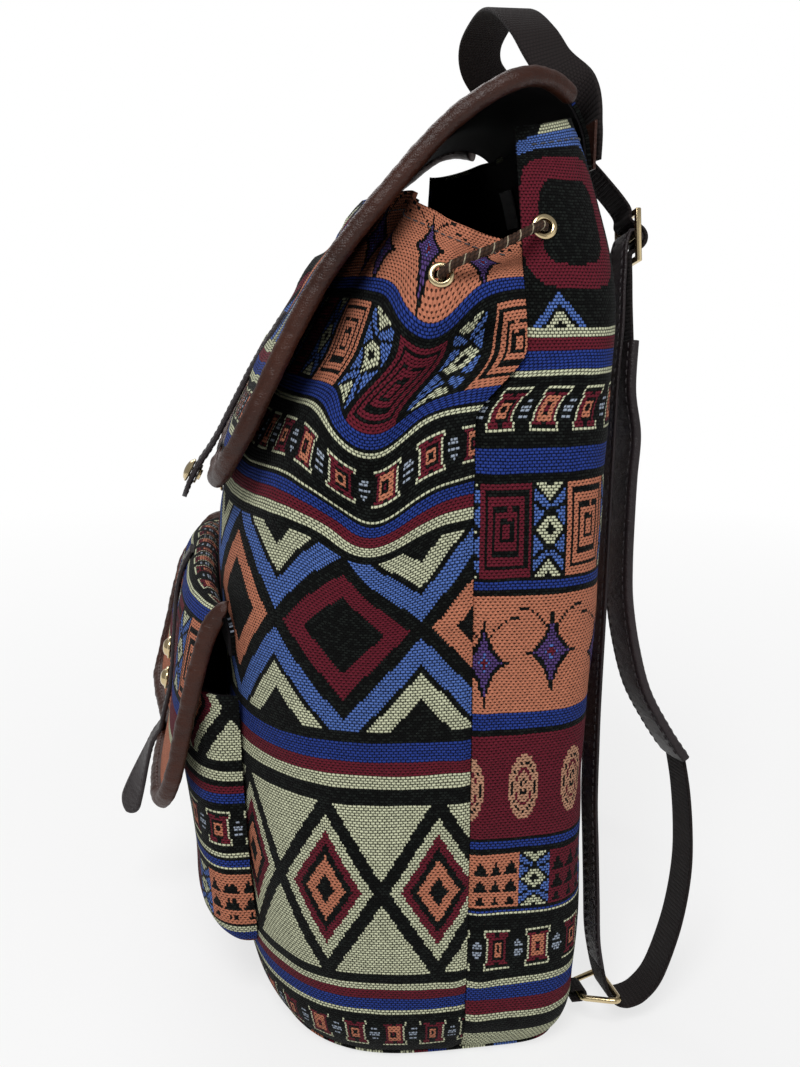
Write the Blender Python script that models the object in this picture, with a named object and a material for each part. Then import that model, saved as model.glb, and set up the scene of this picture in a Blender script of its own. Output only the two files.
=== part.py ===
# Drawstring backpack with a main flap and one front pocket.
# Metres, +Z up, front towards -Y, shoulder straps towards +Y, origin at the middle of the base.
import math

import bmesh
import bpy
import numpy as np
from mathutils import Vector
from mathutils.bvhtree import BVHTree

# Driving dimensions
HALF_WIDTH = 0.143
BASE_HALF_WIDTH = 0.128
MOUTH_Z = 0.383
BACK_TOP_Z = 0.413
SEAM_Y = 0.018
SEAM_TOP_Y = 0.040
FABRIC_T = 0.0016
LINING_T = 0.0009
GAP = 0.0003
BASE_T = 0.0027
POCKET_HALF_WIDTH = 0.094
POCKET_DEPTH = 0.0225
POCKET_LOW_Z = 0.036
POCKET_TOP_Z = 0.166
BINDING_HALF_WIDTH = 0.0052
BINDING_HALF_T = 0.0030
WEB_WIDTH = 0.022
WEB_T = 0.0016
PAD_WIDTH = 0.030
PAD_T = 0.0042
STRAP_TOP_X = 0.032
STRAP_TOP_Z = 0.427
STRAP_LEAN = 0.193
SLIDER_Z = 0.3651
SLIDER_Y = 0.1107
RING_Y = 0.0950
RING_Z = 0.0135
RING_TAB_Y = 0.0788
RING_TAB_Z = 0.0130
RING_WIRE = 0.0014
CORD_R = 0.0019
EYELET_HOLE = 0.0029
EYELET_BARREL = 0.0033
EYELET_FLANGE = 0.0052
HANDLE_WIDTH = 0.022
HANDLE_T = 0.0024
HANDLE_HALF_SPAN = 0.060

BODY_Z = [0.0, 0.006, 0.015, 0.035, 0.080, 0.150, 0.230, 0.275, 0.310, 0.345, 0.383, 0.415]
BODY_A = [0.128, 0.1325, 0.137, 0.1405, 0.143, 0.1435, 0.1425, 0.140, 0.134, 0.1265, 0.114, 0.102]
BODY_F = [0.086, 0.090, 0.0940, 0.098, 0.1015, 0.1030, 0.1035, 0.0930, 0.0705, 0.0480, 0.0225, 0.016]
BODY_B = [0.053, 0.0565, 0.0590, 0.0605, 0.0595, 0.0605, 0.0630, 0.0665, 0.0690, 0.0690, 0.0635, 0.0530]
FRONT_POWER = 3.2
BACK_POWER = 6.0


def smooth_table(xs, ys, x):
    xs = np.asarray(xs, float)
    ys = np.asarray(ys, float)
    slope = np.gradient(ys, xs)
    x = min(max(x, xs[0]), xs[-1])
    i = int(min(max(np.searchsorted(xs, x) - 1, 0), len(xs) - 2))
    h = xs[i + 1] - xs[i]
    t = (x - xs[i]) / h
    a = ys[i] * (1 + 2 * t) * (1 - t) ** 2
    b = slope[i] * h * t * (1 - t) ** 2
    c = ys[i + 1] * t * t * (3 - 2 * t)
    d = slope[i + 1] * h * t * t * (t - 1)
    return a + b + c + d


def step01(x):
    x = min(max(x, 0.0), 1.0)
    return x * x * (3 - 2 * x)


def spline(points, count, closed=False):
    pts = np.asarray(points, float)
    n = len(pts)
    segs = n if closed else n - 1
    dense = []
    for i in range(segs):
        if closed:
            p0, p1, p2, p3 = pts[(i - 1) % n], pts[i], pts[(i + 1) % n], pts[(i + 2) % n]
        else:
            p0, p1, p2, p3 = pts[max(i - 1, 0)], pts[i], pts[i + 1], pts[min(i + 2, n - 1)]
        for k in range(16):
            t = k / 16
            dense.append(0.5 * (2 * p1 + (p2 - p0) * t + (2 * p0 - 5 * p1 + 4 * p2 - p3) * t * t
                                + (3 * p1 - p0 - 3 * p2 + p3) * t ** 3))
    dense.append(pts[0] if closed else pts[-1])
    dense = np.array(dense)
    run = np.concatenate([[0], np.cumsum(np.linalg.norm(np.diff(dense, axis=0), axis=1))])
    at = np.linspace(0, run[-1], count + 1 if closed else count)
    out = np.stack([np.interp(at, run, dense[:, k]) for k in range(dense.shape[1])], axis=1)
    return out[:-1] if closed else out


def thin_out(points, off):
    # Keep only the points that the path needs to stay within the given distance.
    pts = np.asarray(points, float)
    keep = np.zeros(len(pts), bool)
    keep[0] = keep[-1] = True
    todo = [(0, len(pts) - 1)]
    while todo:
        a, b = todo.pop()
        if b <= a + 1:
            continue
        d = pts[b] - pts[a]
        ln = np.linalg.norm(d)
        seg = pts[a + 1:b] - pts[a]
        far = np.linalg.norm(np.cross(seg, d / ln), axis=1)
        k = int(np.argmax(far))
        if far[k] > off or ln > 0.045:
            m = a + 1 + (k if far[k] > off else (b - a) // 2 - 1)
            m = min(max(m, a + 1), b - 1)
            keep[m] = True
            todo += [(a, m), (m, b)]
    return pts[keep]


def unit(v):
    return v / max(np.linalg.norm(v), 1e-12)


def make(name, verts, faces):
    mesh = bpy.data.meshes.new(name)
    mesh.from_pydata([tuple(float(c) for c in v) for v in verts], [], faces)
    mesh.validate()
    obj = bpy.data.objects.new(name, mesh)
    bpy.context.scene.collection.objects.link(obj)
    return obj


def grid_normals(grid, flip):
    du = np.gradient(grid, axis=1)
    dv = np.gradient(grid, axis=0)
    n = np.cross(du, dv)
    n /= np.maximum(np.linalg.norm(n, axis=2, keepdims=True), 1e-12)
    return -n if flip else n


def inset_ends(grid, share=0.16):
    # Draw the first and last columns in, so a lining stays clear of its neighbour at the seam.
    out = grid.copy()
    out[:, 0] += (grid[:, 1] - grid[:, 0]) * share
    out[:, -1] += (grid[:, -2] - grid[:, -1]) * share
    for i in (0, -1):
        out[:, i, 0] -= 0.0006 * np.sign(grid[:, i, 0])
    return out


def sheet(name, grid, t_out, t_in, flip=False, holes=(), square_ends=False):
    # A closed cloth solid between two offsets of one grid, with square holes at the listed cells.
    n = grid_normals(grid, flip)
    if square_ends:
        for i in (0, grid.shape[1] - 1):
            n[:, i] = (math.copysign(1.0, grid[grid.shape[0] // 2, i, 0]), 0.0, 0.0)
    rows, cols = grid.shape[:2]
    for j, i in holes:
        e1 = grid[j, i + 1] - grid[j, i]
        e2 = grid[j + 1, i] - grid[j, i]
        flat = unit(np.cross(e1, e2))
        if flat @ n[j, i] < 0:
            flat = -flat
        n[j:j + 2, i:i + 2] = flat
    top = grid + n * t_out
    low = grid + n * t_in
    verts = list(top.reshape(-1, 3)) + list(low.reshape(-1, 3))
    size = rows * cols

    def a(j, i):
        return j * cols + i

    def b(j, i):
        return size + j * cols + i

    holes = set(holes)
    faces = []
    for j in range(rows - 1):
        for i in range(cols - 1):
            if (j, i) in holes:
                faces.append((a(j, i), a(j, i + 1), b(j, i + 1), b(j, i)))
                faces.append((a(j, i + 1), a(j + 1, i + 1), b(j + 1, i + 1), b(j, i + 1)))
                faces.append((a(j + 1, i + 1), a(j + 1, i), b(j + 1, i), b(j + 1, i + 1)))
                faces.append((a(j + 1, i), a(j, i), b(j, i), b(j + 1, i)))
                continue
            if i < (cols - 1) / 2:
                faces.append((a(j, i), a(j, i + 1), a(j + 1, i + 1)))
                faces.append((a(j, i), a(j + 1, i + 1), a(j + 1, i)))
                faces.append((b(j, i), b(j + 1, i + 1), b(j, i + 1)))
                faces.append((b(j, i), b(j + 1, i), b(j + 1, i + 1)))
            else:
                faces.append((a(j, i), a(j, i + 1), a(j + 1, i)))
                faces.append((a(j, i + 1), a(j + 1, i + 1), a(j + 1, i)))
                faces.append((b(j, i), b(j + 1, i), b(j, i + 1)))
                faces.append((b(j, i + 1), b(j + 1, i), b(j + 1, i + 1)))
    for i in range(cols - 1):
        faces.append((a(0, i), b(0, i), b(0, i + 1), a(0, i + 1)))
        faces.append((a(rows - 1, i), a(rows - 1, i + 1), b(rows - 1, i + 1), b(rows - 1, i)))
    for j in range(rows - 1):
        faces.append((a(j, 0), a(j + 1, 0), b(j + 1, 0), b(j, 0)))
        faces.append((a(j, cols - 1), b(j, cols - 1), b(j + 1, cols - 1), a(j + 1, cols - 1)))
    if flip:
        faces = [tuple(reversed(f)) for f in faces]
    return make(name, verts, faces)


def sweep(name, centres, sides, ups, profile, closed=False):
    # Profile points are (side, up) pairs in the plane across the path.
    verts = []
    k = len(profile)
    for c, s, u in zip(centres, sides, ups):
        for px, py in profile:
            verts.append(c + s * px + u * py)
    n = len(centres)
    faces = []
    for j in range(n if closed else n - 1):
        j2 = (j + 1) % n
        for i in range(k):
            i2 = (i + 1) % k
            if k == 6 and i < 3:
                # both broad sides of a strap are split along the same diagonal
                faces.append((j * k + i, j * k + i2, j2 * k + i2))
                faces.append((j * k + i, j2 * k + i2, j2 * k + i))
            elif k == 6:
                faces.append((j * k + i, j * k + i2, j2 * k + i))
                faces.append((j * k + i2, j2 * k + i2, j2 * k + i))
            else:
                faces.append((j * k + i, j * k + i2, j2 * k + i2, j2 * k + i))
    if not closed:
        faces.append(tuple(reversed(range(k))))
        faces.append(tuple((n - 1) * k + i for i in range(k)))
    obj = make(name, verts, faces)
    fix_normals(obj)
    return obj


def fix_normals(obj):
    bm = bmesh.new()
    bm.from_mesh(obj.data)
    bmesh.ops.recalc_face_normals(bm, faces=bm.faces)
    if bm.calc_volume(signed=True) < 0:
        bmesh.ops.reverse_faces(bm, faces=bm.faces)
    bm.to_mesh(obj.data)
    bm.free()


def tangents(points, closed=False):
    pts = np.asarray(points, float)
    step = np.roll(pts, -1, axis=0) - pts
    step /= np.maximum(np.linalg.norm(step, axis=1, keepdims=True), 1e-12)
    if not closed:
        step[-1] = step[-2]
    back_step = np.roll(step, 1, axis=0)
    if not closed:
        back_step[0] = step[0]
    d = step + back_step
    return d / np.linalg.norm(d, axis=1, keepdims=True)


def tube(name, points, radius, sides=10, closed=False):
    pts = np.asarray(points, float)
    t = tangents(pts, closed)
    ref = np.array([0.0, 0.0, 1.0])
    if abs(t[0] @ ref) > 0.9:
        ref = np.array([0.0, 1.0, 0.0])
    u = unit(ref - t[0] * (ref @ t[0]))
    ups = []
    for k in range(len(pts)):
        u = unit(u - t[k] * (u @ t[k]))
        ups.append(u)
    rights = [np.cross(t[k], ups[k]) for k in range(len(pts))]
    ring = [(radius * math.cos(2 * math.pi * i / sides), radius * math.sin(2 * math.pi * i / sides))
            for i in range(sides)]
    return sweep(name, pts, rights, ups, ring, closed)


def strip_profile(width, thick):
    w = width / 2
    t = thick / 2
    c = t * 0.55
    return [(-w + c, -t), (w - c, -t), (w, 0.0), (w - c, t), (-w + c, t), (-w, 0.0)]


def strip(name, points, across, width, thick):
    pts = np.asarray(points, float)
    t = tangents(pts)
    across = unit(np.asarray(across, float))
    ups = []
    for k in range(len(pts)):
        up = unit(np.cross(t[k], across))
        # keep the thickness even where the path turns
        if 0 < k < len(pts) - 1:
            d0 = unit(pts[k] - pts[k - 1])
            d1 = unit(pts[k + 1] - pts[k])
            half = math.sqrt(max((1 + float(d0 @ d1)) / 2, 0.2))
            up = up / half
        ups.append(up)
    return sweep(name, pts, [across] * len(pts), ups, strip_profile(width, thick))


def lathe(name, profile, origin, axis, sides=20):
    # Profile is a closed loop of (radius, height) pairs; radius 0 is allowed at both ends.
    axis = unit(np.asarray(axis, float))
    ref = np.array([0.0, 0.0, 1.0]) if abs(axis[2]) < 0.9 else np.array([1.0, 0.0, 0.0])
    e1 = unit(np.cross(ref, axis))
    e2 = np.cross(axis, e1)
    origin = np.asarray(origin, float)
    verts = []
    rings = []
    for r, h in profile:
        if r < 1e-9:
            rings.append([len(verts)] * sides)
            verts.append(origin + axis * h)
            continue
        ids = []
        for i in range(sides):
            ang = 2 * math.pi * i / sides
            ids.append(len(verts))
            verts.append(origin + axis * h + e1 * r * math.cos(ang) + e2 * r * math.sin(ang))
        rings.append(ids)
    open_ended = profile[0][0] < 1e-9
    faces = []
    count = len(rings)
    for j in range(count - 1 if open_ended else count):
        r0 = rings[j]
        r1 = rings[(j + 1) % count]
        for i in range(sides):
            i2 = (i + 1) % sides
            f = [r0[i], r0[i2], r1[i2], r1[i]]
            g = []
            for v in f:
                if v not in g:
                    g.append(v)
            if len(g) >= 3:
                faces.append(tuple(g))
    obj = make(name, verts, faces)
    fix_normals(obj)
    return obj


# Body surface

CREASE = [(0.022, 0.322), (0.011, 0.316), (0.001, 0.305), (-0.009, 0.288), (-0.021, 0.270), (-0.036, 0.250)]


def crease_depth(y, z):
    best = 1.0
    along = 0.0
    for k in range(len(CREASE) - 1):
        p = np.array(CREASE[k])
        q = np.array(CREASE[k + 1])
        d = q - p
        t = min(max(float(((y - p[0]) * d[0] + (z - p[1]) * d[1]) / (d @ d)), 0.0), 1.0)
        c = p + d * t
        r = math.hypot(y - c[0], z - c[1])
        if r < best:
            best = r
            along = (k + t) / (len(CREASE) - 1)
    fade = 1.0 - 0.55 * along
    return -0.0085 * fade * math.exp(-(best / 0.0085) ** 2) + 0.0030 * math.exp(-((best - 0.020) / 0.010) ** 2)


def seam_y(z):
    return SEAM_Y + (SEAM_TOP_Y - SEAM_Y) * step01((z - 0.292) / 0.030)


def body_point(u, z, front):
    # u runs 0..1 from the right seam round the front or the back to the left seam.
    a = smooth_table(BODY_Z, BODY_A, z)
    bf = smooth_table(BODY_Z, BODY_F, z)
    bb = smooth_table(BODY_Z, BODY_B, z)
    ys = seam_y(z)
    s0 = math.asin(min(((ys - SEAM_Y) / bb) ** (BACK_POWER / 2), 1.0)) if ys > SEAM_Y + 1e-6 else 0.0
    if front:
        ang = np.linspace(s0, -math.pi - s0, 181)
    else:
        ang = np.linspace(s0, math.pi - s0, 121)
    co = np.cos(ang)
    si = np.sin(ang)
    p = np.where(si > 0, BACK_POWER, FRONT_POWER)
    b = np.where(si > 0, bb, bf)
    x = a * np.sign(co) * np.abs(co) ** (2 / p)
    y = SEAM_Y + b * np.sign(si) * np.abs(si) ** (2 / p)
    run = np.concatenate([[0], np.cumsum(np.hypot(np.diff(x), np.diff(y)))])
    total = run[-1]
    s = GAP / 2 + u * (total - GAP)
    px = float(np.interp(s, run, x))
    py = float(np.interp(s, run, y))
    e = 0.002
    qx = float(np.interp(min(s + e, total), run, x)) - float(np.interp(max(s - e, 0), run, x))
    qy = float(np.interp(min(s + e, total), run, y)) - float(np.interp(max(s - e, 0), run, y))
    ln = math.hypot(qx, qy)
    nx, ny = (-qy / ln, qx / ln)
    if nx * px + ny * (py - 0.01) < 0:
        nx, ny = -nx, -ny
    if u <= 0.0 or u >= 1.0:
        nx, ny = math.copysign(1.0, px), 0.0
    mid = s - total / 2
    d = 0.0
    if front:
        side = step01((abs(px) - 0.075) / 0.035)
        d += crease_depth(py, z) * side * step01((z - 0.235) / 0.02)
        fold = step01((z - 0.315) / 0.05) * step01((0.150 - abs(mid)) / 0.02)
        d += 0.0024 * fold * math.cos(2 * math.pi * mid / 0.0345)
        d += 0.0012 * math.sin(z * 58 + 0.4) * math.sin(abs(mid) * 30) * step01(z / 0.05) * (1 - fold)
    else:
        d += 0.0012 * math.sin(z * 47 + 1.0) * math.sin(mid * 24 + 0.5) * step01(z / 0.05) * step01((0.39 - z) / 0.04)
    return np.array([px + nx * d, py + ny * d, z])


def front_y(x, z):
    a = smooth_table(BODY_Z, BODY_A, z)
    bf = smooth_table(BODY_Z, BODY_F, z)
    return SEAM_Y - bf * (1 - min(abs(x) / a, 0.999) ** FRONT_POWER) ** (1 / FRONT_POWER)


def back_y(x, z):
    a = smooth_table(BODY_Z, BODY_A, z)
    bb = smooth_table(BODY_Z, BODY_B, z)
    return SEAM_Y + bb * (1 - min(abs(x) / a, 0.999) ** BACK_POWER) ** (1 / BACK_POWER)


FRONT_COLS = 36
FRONT_ROWS = [0.003, 0.010, 0.028, 0.080, 0.135, 0.190, 0.225, 0.248, 0.270, 0.290, 0.306, 0.324, 0.3460,
              0.3530, 0.367, 0.384]
EYELET_ROW = 12
BACK_HALF_U = [0.0, 0.018, 0.040, 0.075, 0.115, 0.160, 0.215, 0.285, 0.355, 0.428]
BACK_U = BACK_HALF_U + [0.5] + [1 - v for v in BACK_HALF_U[::-1]]
BACK_COLS = len(BACK_U) - 1
BACK_ROWS = [0.003, 0.010, 0.028, 0.080, 0.135, 0.190, 0.248, 0.290, 0.306, 0.324, 0.3640,
             0.3710, 0.390, 0.413]
WING_ROW = 10


def front_grid():
    grid = np.zeros((len(FRONT_ROWS), FRONT_COLS + 1, 3))
    for j, z0 in enumerate(FRONT_ROWS):
        for i in range(FRONT_COLS + 1):
            u = i / FRONT_COLS
            near = abs(2 * u - 1)
            drop = 0.022 * step01((near - 0.55) / 0.45) * step01((z0 - 0.346) / 0.037)
            drop += 0.007 * step01((0.45 - near) / 0.40) * step01((z0 - 0.353) / 0.031)
            grid[j, i] = body_point(u, z0 - drop, True)
    return grid


def back_grid():
    grid = np.zeros((len(BACK_ROWS), BACK_COLS + 1, 3))
    for j, z0 in enumerate(BACK_ROWS):
        for i, u in enumerate(BACK_U):
            near = abs(2 * u - 1)
            drop = 0.006 * step01((near - 0.70) / 0.30) * step01((z0 - 0.39) / 0.02)
            grid[j, i] = body_point(u, z0 - drop, False)
    return grid


front = front_grid()
back = back_grid()
EYELET_COLS = [3, 14, FRONT_COLS - 1 - 14, FRONT_COLS - 1 - 3]
WING_COLS = [1, BACK_COLS - 2]
front_holes = [(EYELET_ROW, i) for i in EYELET_COLS]
wing_holes = [(WING_ROW, i) for i in WING_COLS]


def square_cell(grid, j, i, half):
    # Pull the four corners of one cell to a true square of the given half size.
    c = (grid[j, i] + grid[j, i + 1] + grid[j + 1, i + 1] + grid[j + 1, i]) / 4
    e1 = unit(grid[j, i + 1] - grid[j, i] + grid[j + 1, i + 1] - grid[j + 1, i])
    e2 = grid[j + 1, i] - grid[j, i] + grid[j + 1, i + 1] - grid[j, i + 1]
    e2 = unit(e2 - e1 * (e1 @ e2))
    grid[j, i] = c - e1 * half - e2 * half
    grid[j, i + 1] = c + e1 * half - e2 * half
    grid[j + 1, i + 1] = c + e1 * half + e2 * half
    grid[j + 1, i] = c - e1 * half + e2 * half
    return c, e1, e2


eyelets = []
for j, i in front_holes:
    c, e1, e2 = square_cell(front, j, i, 0.0035)
    n = unit(np.cross(e1, e2))
    if n @ np.array([c[0], c[1] - 0.01, 0.0]) < 0:
        n = -n
    eyelets.append((c, n, "front"))
for j, i in wing_holes:
    c, e1, e2 = square_cell(back, j, i, 0.0035)
    n = unit(np.cross(e1, e2))
    if n @ np.array([c[0], c[1] - 0.01, 0.0]) < 0:
        n = -n
    eyelets.append((c, n, "wing"))


def outward_flip(grid):
    n = grid_normals(grid, False)
    j = grid.shape[0] // 2
    i = grid.shape[1] // 2
    c = grid[j, i] - np.array([0.0, 0.01, 0.0])
    return float(n[j, i] @ np.array([c[0], c[1], 0.0])) < 0


def grid_tree(grid):
    rows, cols = grid.shape[:2]
    verts = [Vector([float(c) for c in v]) for v in grid.reshape(-1, 3)]
    faces = []
    for j in range(rows - 1):
        for i in range(cols - 1):
            k = j * cols + i
            if i < (cols - 1) / 2:
                faces += [(k, k + 1, k + cols + 1), (k, k + cols + 1, k + cols)]
            else:
                faces += [(k, k + 1, k + cols), (k + 1, k + cols + 1, k + cols)]
    return BVHTree.FromPolygons(verts, faces)


front_tree = grid_tree(front)
back_tree = grid_tree(back)


def panel_y(x, z):
    hit = front_tree.ray_cast(Vector((x, -1.0, z)), Vector((0.0, 1.0, 0.0)))
    return hit[0].y if hit[0] is not None else front_y(x, z)


def back_panel_y(x, z):
    hit = back_tree.ray_cast(Vector((x, 1.0, z)), Vector((0.0, -1.0, 0.0)))
    return hit[0].y if hit[0] is not None else back_y(x, z)


flip_front = outward_flip(front)
flip_back = outward_flip(back)
L0 = -(FABRIC_T + GAP)
L1 = L0 - LINING_T
FRONT_L0 = L0 - 0.0005
FRONT_L1 = L1 - 0.0005
sheet("front_panel", front, 0.0, -FABRIC_T, flip_front, front_holes, True)
sheet("front_lining", inset_ends(front[1:]), FRONT_L0, FRONT_L1, flip_front, [(j - 1, i) for j, i in front_holes], True)
sheet("back_panel", back, 0.0, -FABRIC_T, flip_back, wing_holes, True)
sheet("back_lining", inset_ends(back[1:]), L0, L1, flip_back, [(j - 1, i) for j, i in wing_holes], True)


def base_outline(z, inset, count=56):
    pts = []
    a = smooth_table(BODY_Z, BODY_A, z) - inset
    bf = smooth_table(BODY_Z, BODY_F, z) - inset
    bb = smooth_table(BODY_Z, BODY_B, z) - inset
    for k in range(count):
        ang = 2 * math.pi * (k + 0.5) / count
        co = math.cos(ang)
        si = math.sin(ang)
        p = BACK_POWER if si > 0 else FRONT_POWER
        b = bb if si > 0 else bf
        pts.append((a * math.copysign(abs(co) ** (2 / p), co), SEAM_Y + b * math.copysign(abs(si) ** (2 / p), si)))
    return pts


def plate(name, outline, z0, z1):
    n = len(outline)
    verts = [(x, y, z0) for x, y in outline] + [(x, y, z1) for x, y in outline]
    faces = [tuple(reversed(range(n))), tuple(range(n, 2 * n))]
    for i in range(n):
        i2 = (i + 1) % n
        faces.append((i, i2, n + i2, n + i))
    obj = make(name, verts, faces)
    fix_normals(obj)
    return obj


plate("base_panel", base_outline(0.003, 0.0006), 0.0, BASE_T)
plate("base_lining", base_outline(0.006, 0.0052), BASE_T + GAP, BASE_T + GAP + LINING_T)

# Eyelets
for k, (c, n, kind) in enumerate(eyelets):
    out = 0.0007
    low = (FRONT_L1 if kind == "front" else L1) - 0.0016
    prof = [(EYELET_HOLE, out + 0.0007), (EYELET_FLANGE - 0.0008, out + 0.0007), (EYELET_FLANGE, out),
            (EYELET_BARREL, out), (EYELET_BARREL, low), (EYELET_FLANGE, low),
            (EYELET_FLANGE - 0.0008, low - 0.0007), (EYELET_HOLE, low - 0.0007)]
    lathe("eyelet_%s_%d" % (kind, k + 1), prof, c, n, 14)

# Drawstring: from the front tails, in, along the inside, out at the sides, in at the back wings.
ER1, ER2, EL2, EL1 = [eyelets[k][0] for k in (0, 1, 2, 3)]
NR1, NR2, NL2, NL1 = [eyelets[k][1] for k in (0, 1, 2, 3)]
WR, WL = eyelets[4][0], eyelets[5][0]
NWR, NWL = eyelets[4][1], eyelets[5][1]


def inner_front(frac, off):
    u = frac
    p = body_point(u, 0.349, True)
    c = np.array([0.0, 0.012, 0.349])
    d = unit(np.array([c[0] - p[0], c[1] - p[1], 0.0]))
    return p + d * off


def inner_back(frac, off):
    p = body_point(frac, 0.366, False)
    c = np.array([0.0, 0.03, 0.366])
    d = unit(np.array([c[0] - p[0], c[1] - p[1], 0.0]))
    return p + d * off


def through(c, n, outwards):
    a = [c - n * 0.0100, c - n * 0.0066, c - n * 0.0033, c, c + n * 0.0040]
    return a if outwards else a[::-1]


cord = []
cord += [WR * 0 + inner_back(0.5, 0.013)]
cord += [inner_back(0.42, 0.0135), inner_back(0.34, 0.0135), inner_back(0.25, 0.0145), inner_back(0.16, 0.0145)]
cord += through(WR, NWR, True)
side_mid = (WR + NWR * 0.0085 + ER1 + NR1 * 0.0085) / 2 + np.array([0.0015, 0.0, -0.0010])
cord += [WR + NWR * 0.0078 + unit(ER1 - WR) * 0.0060, side_mid, ER1 + NR1 * 0.0078 + unit(WR - ER1) * 0.0060]
cord += through(ER1, NR1, False)
cord += [inner_front(0.155, 0.0175), inner_front(0.215, 0.0175), inner_front(0.28, 0.0175), inner_front(0.34, 0.0155)]
cord += through(ER2, NR2, True)
tail_r = []
for dz, lift in ((-0.010, 0.0042), (-0.020, 0.0044), (-0.030, 0.0045), (-0.039, 0.0045)):
    z = ER2[2] + dz
    tail_r.append(np.array([ER2[0] - 0.003 + dz * 0.05, front_y(ER2[0], z) - lift, z]))
right_half = cord[1:] + tail_r
left_half = [p * np.array([-1.0, 1.0, 1.0]) for p in right_half]
loop = left_half[::-1] + [cord[0]] + right_half
cord_line = spline(loop, 900)
for _ in range(22):
    cord_line[1:-1] = (cord_line[:-2] + 2 * cord_line[1:-1] + cord_line[2:]) / 4
tube("drawstring", thin_out(cord_line, 0.00015), CORD_R, 7)
for name, sx in (("cord_knot_right", 1.0), ("cord_knot_left", -1.0)):
    end = tail_r[-1] * np.array([sx, 1.0, 1.0])
    d = unit((tail_r[-1] - tail_r[-2]) * np.array([sx, 1.0, 1.0]))
    prof = [(0.0, 0.0004), (0.0024, 0.0006), (0.0032, 0.0020), (0.0034, 0.0042), (0.0030, 0.0064),
            (0.0018, 0.0076), (0.0, 0.0079)]
    lathe(name, prof, end, d, 12)

# Main flap
FLAP_MID = [(0.0832, 0.396), (0.0815, 0.4120), (0.0730, 0.4250), (0.0560, 0.4310), (0.0370, 0.4280),
            (0.0170, 0.4140), (-0.0030, 0.3960), (-0.0310, 0.3640), (-0.0530, 0.3310), (-0.0780, 0.2860),
            (-0.0850, 0.2660)]
FLAP_SIDE = [(0.0800, 0.394), (0.0775, 0.4080), (0.0690, 0.4190), (0.0550, 0.4250), (0.0370, 0.4235),
             (0.0140, 0.4100), (-0.0050, 0.3915), (-0.0330, 0.3585), (-0.0515, 0.3290), (-0.0745, 0.2840),
             (-0.0800, 0.2700)]
FLAP_ROOT_HALF = 0.080
FLAP_HALF = 0.1130


def flap_grid(mid, side, half_at, rows, cols, corner, corner_keep, power):
    m = spline([(0.0, y, z) for y, z in mid], 121)
    s = spline([(0.0, y, z) for y, z in side], 121)
    vs = [k / (rows - 1) for k in range(rows)]
    flat = [v * corner for v in vs]
    arc = [corner + (1 - corner) * math.sin(math.pi / 2 * k / 4) for k in range(1, 5)]
    levels = flat + arc
    ws = np.linspace(-1, 1, cols)
    grid = np.zeros((len(levels), cols, 3))
    for j, v in enumerate(levels):
        half = half_at(v)
        if v > corner:
            t = (v - corner) / (1 - corner)
            half *= corner_keep + (1 - corner_keep) * math.sqrt(max(1 - t * t, 0.0))
        mp = np.array([np.interp(v * 120, range(121), m[:, k]) for k in range(3)])
        sp = np.array([np.interp(v * 120, range(121), s[:, k]) for k in range(3)])
        for i, w in enumerate(ws):
            q = (abs(w) * half / half_at(v)) ** power
            p = mp * (1 - q) + sp * q
            grid[j, i] = (w * half, p[1], p[2])
    return grid


def flap_half(v):
    return FLAP_ROOT_HALF + (FLAP_HALF - FLAP_ROOT_HALF) * step01((v - 0.03) / 0.24)


flap = flap_grid(FLAP_MID, FLAP_SIDE, flap_half, 14, 13, 0.90, 0.72, 3.2)


def up_flip(grid):
    n = grid_normals(grid, False)
    j = grid.shape[0] // 2
    i = grid.shape[1] // 2
    return float(n[j, i] @ np.array([0.0, -0.7, 0.7])) < 0


flip_flap = up_flip(flap)
sheet("flap_fabric", flap, 0.0, -FABRIC_T, flip_flap)
sheet("flap_lining", flap, L0, L1, flip_flap)


def edge_binding(name, grid, flip, start, half_w, half_t, step=1):
    n = grid_normals(grid, flip)
    rows, cols = grid.shape[:2]
    idx = [(j, 0) for j in range(start, rows)] + [(rows - 1, i) for i in range(1, cols)]
    idx += [(j, cols - 1) for j in range(rows - 2, start - 1, -1)]
    pts = np.array([grid[j, i] for j, i in idx])
    nor = np.array([n[j, i] for j, i in idx])
    for _ in range(2):
        nor[1:-1] = (nor[:-2] + 2 * nor[1:-1] + nor[2:]) / 4
    t = tangents(pts)
    outs = []
    ups = []
    centres = []
    inside = grid[rows // 2, cols // 2]
    for p, m, d in zip(pts, nor, t):
        m = unit(m - d * (m @ d))
        o = unit(np.cross(d, m))
        if o @ (p - inside) < 0:
            o = -o
        outs.append(o)
        ups.append(m)
        centres.append(p + o * (half_w + GAP + 0.0002) + m * (L1 / 2))
    w = half_w
    h = half_t
    prof = [(-w, -h * 0.75), (-w * 0.55, -h), (w * 0.35, -h), (w * 0.85, -h * 0.6), (w, 0.0),
            (w * 0.85, h * 0.6), (w * 0.35, h), (-w * 0.55, h), (-w, h * 0.75)]
    return sweep(name, centres, outs, ups, prof)


edge_binding("flap_binding", flap, flip_flap, 2, BINDING_HALF_WIDTH, BINDING_HALF_T)


def over_surface(curve2, count, lift, x=0.0, hang=(), lift_end=None):
    # A centre line lifted off a (y, z) curve, followed by free hanging points.
    c = spline([(x, y, z) for y, z in curve2], count)
    t = tangents(c)
    out = []
    if lift_end is None:
        lift_end = lift
    for k, (p, d) in enumerate(zip(c, t)):
        n = unit(np.cross(np.array([1.0, 0.0, 0.0]), d))
        if n[1] > 0:
            n = -n
        out.append(p + n * (lift + (lift_end - lift) * step01((k / (count - 1) - 0.70) / 0.30)))
    return out + [np.array([x, y, z]) for y, z in hang]


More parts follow.
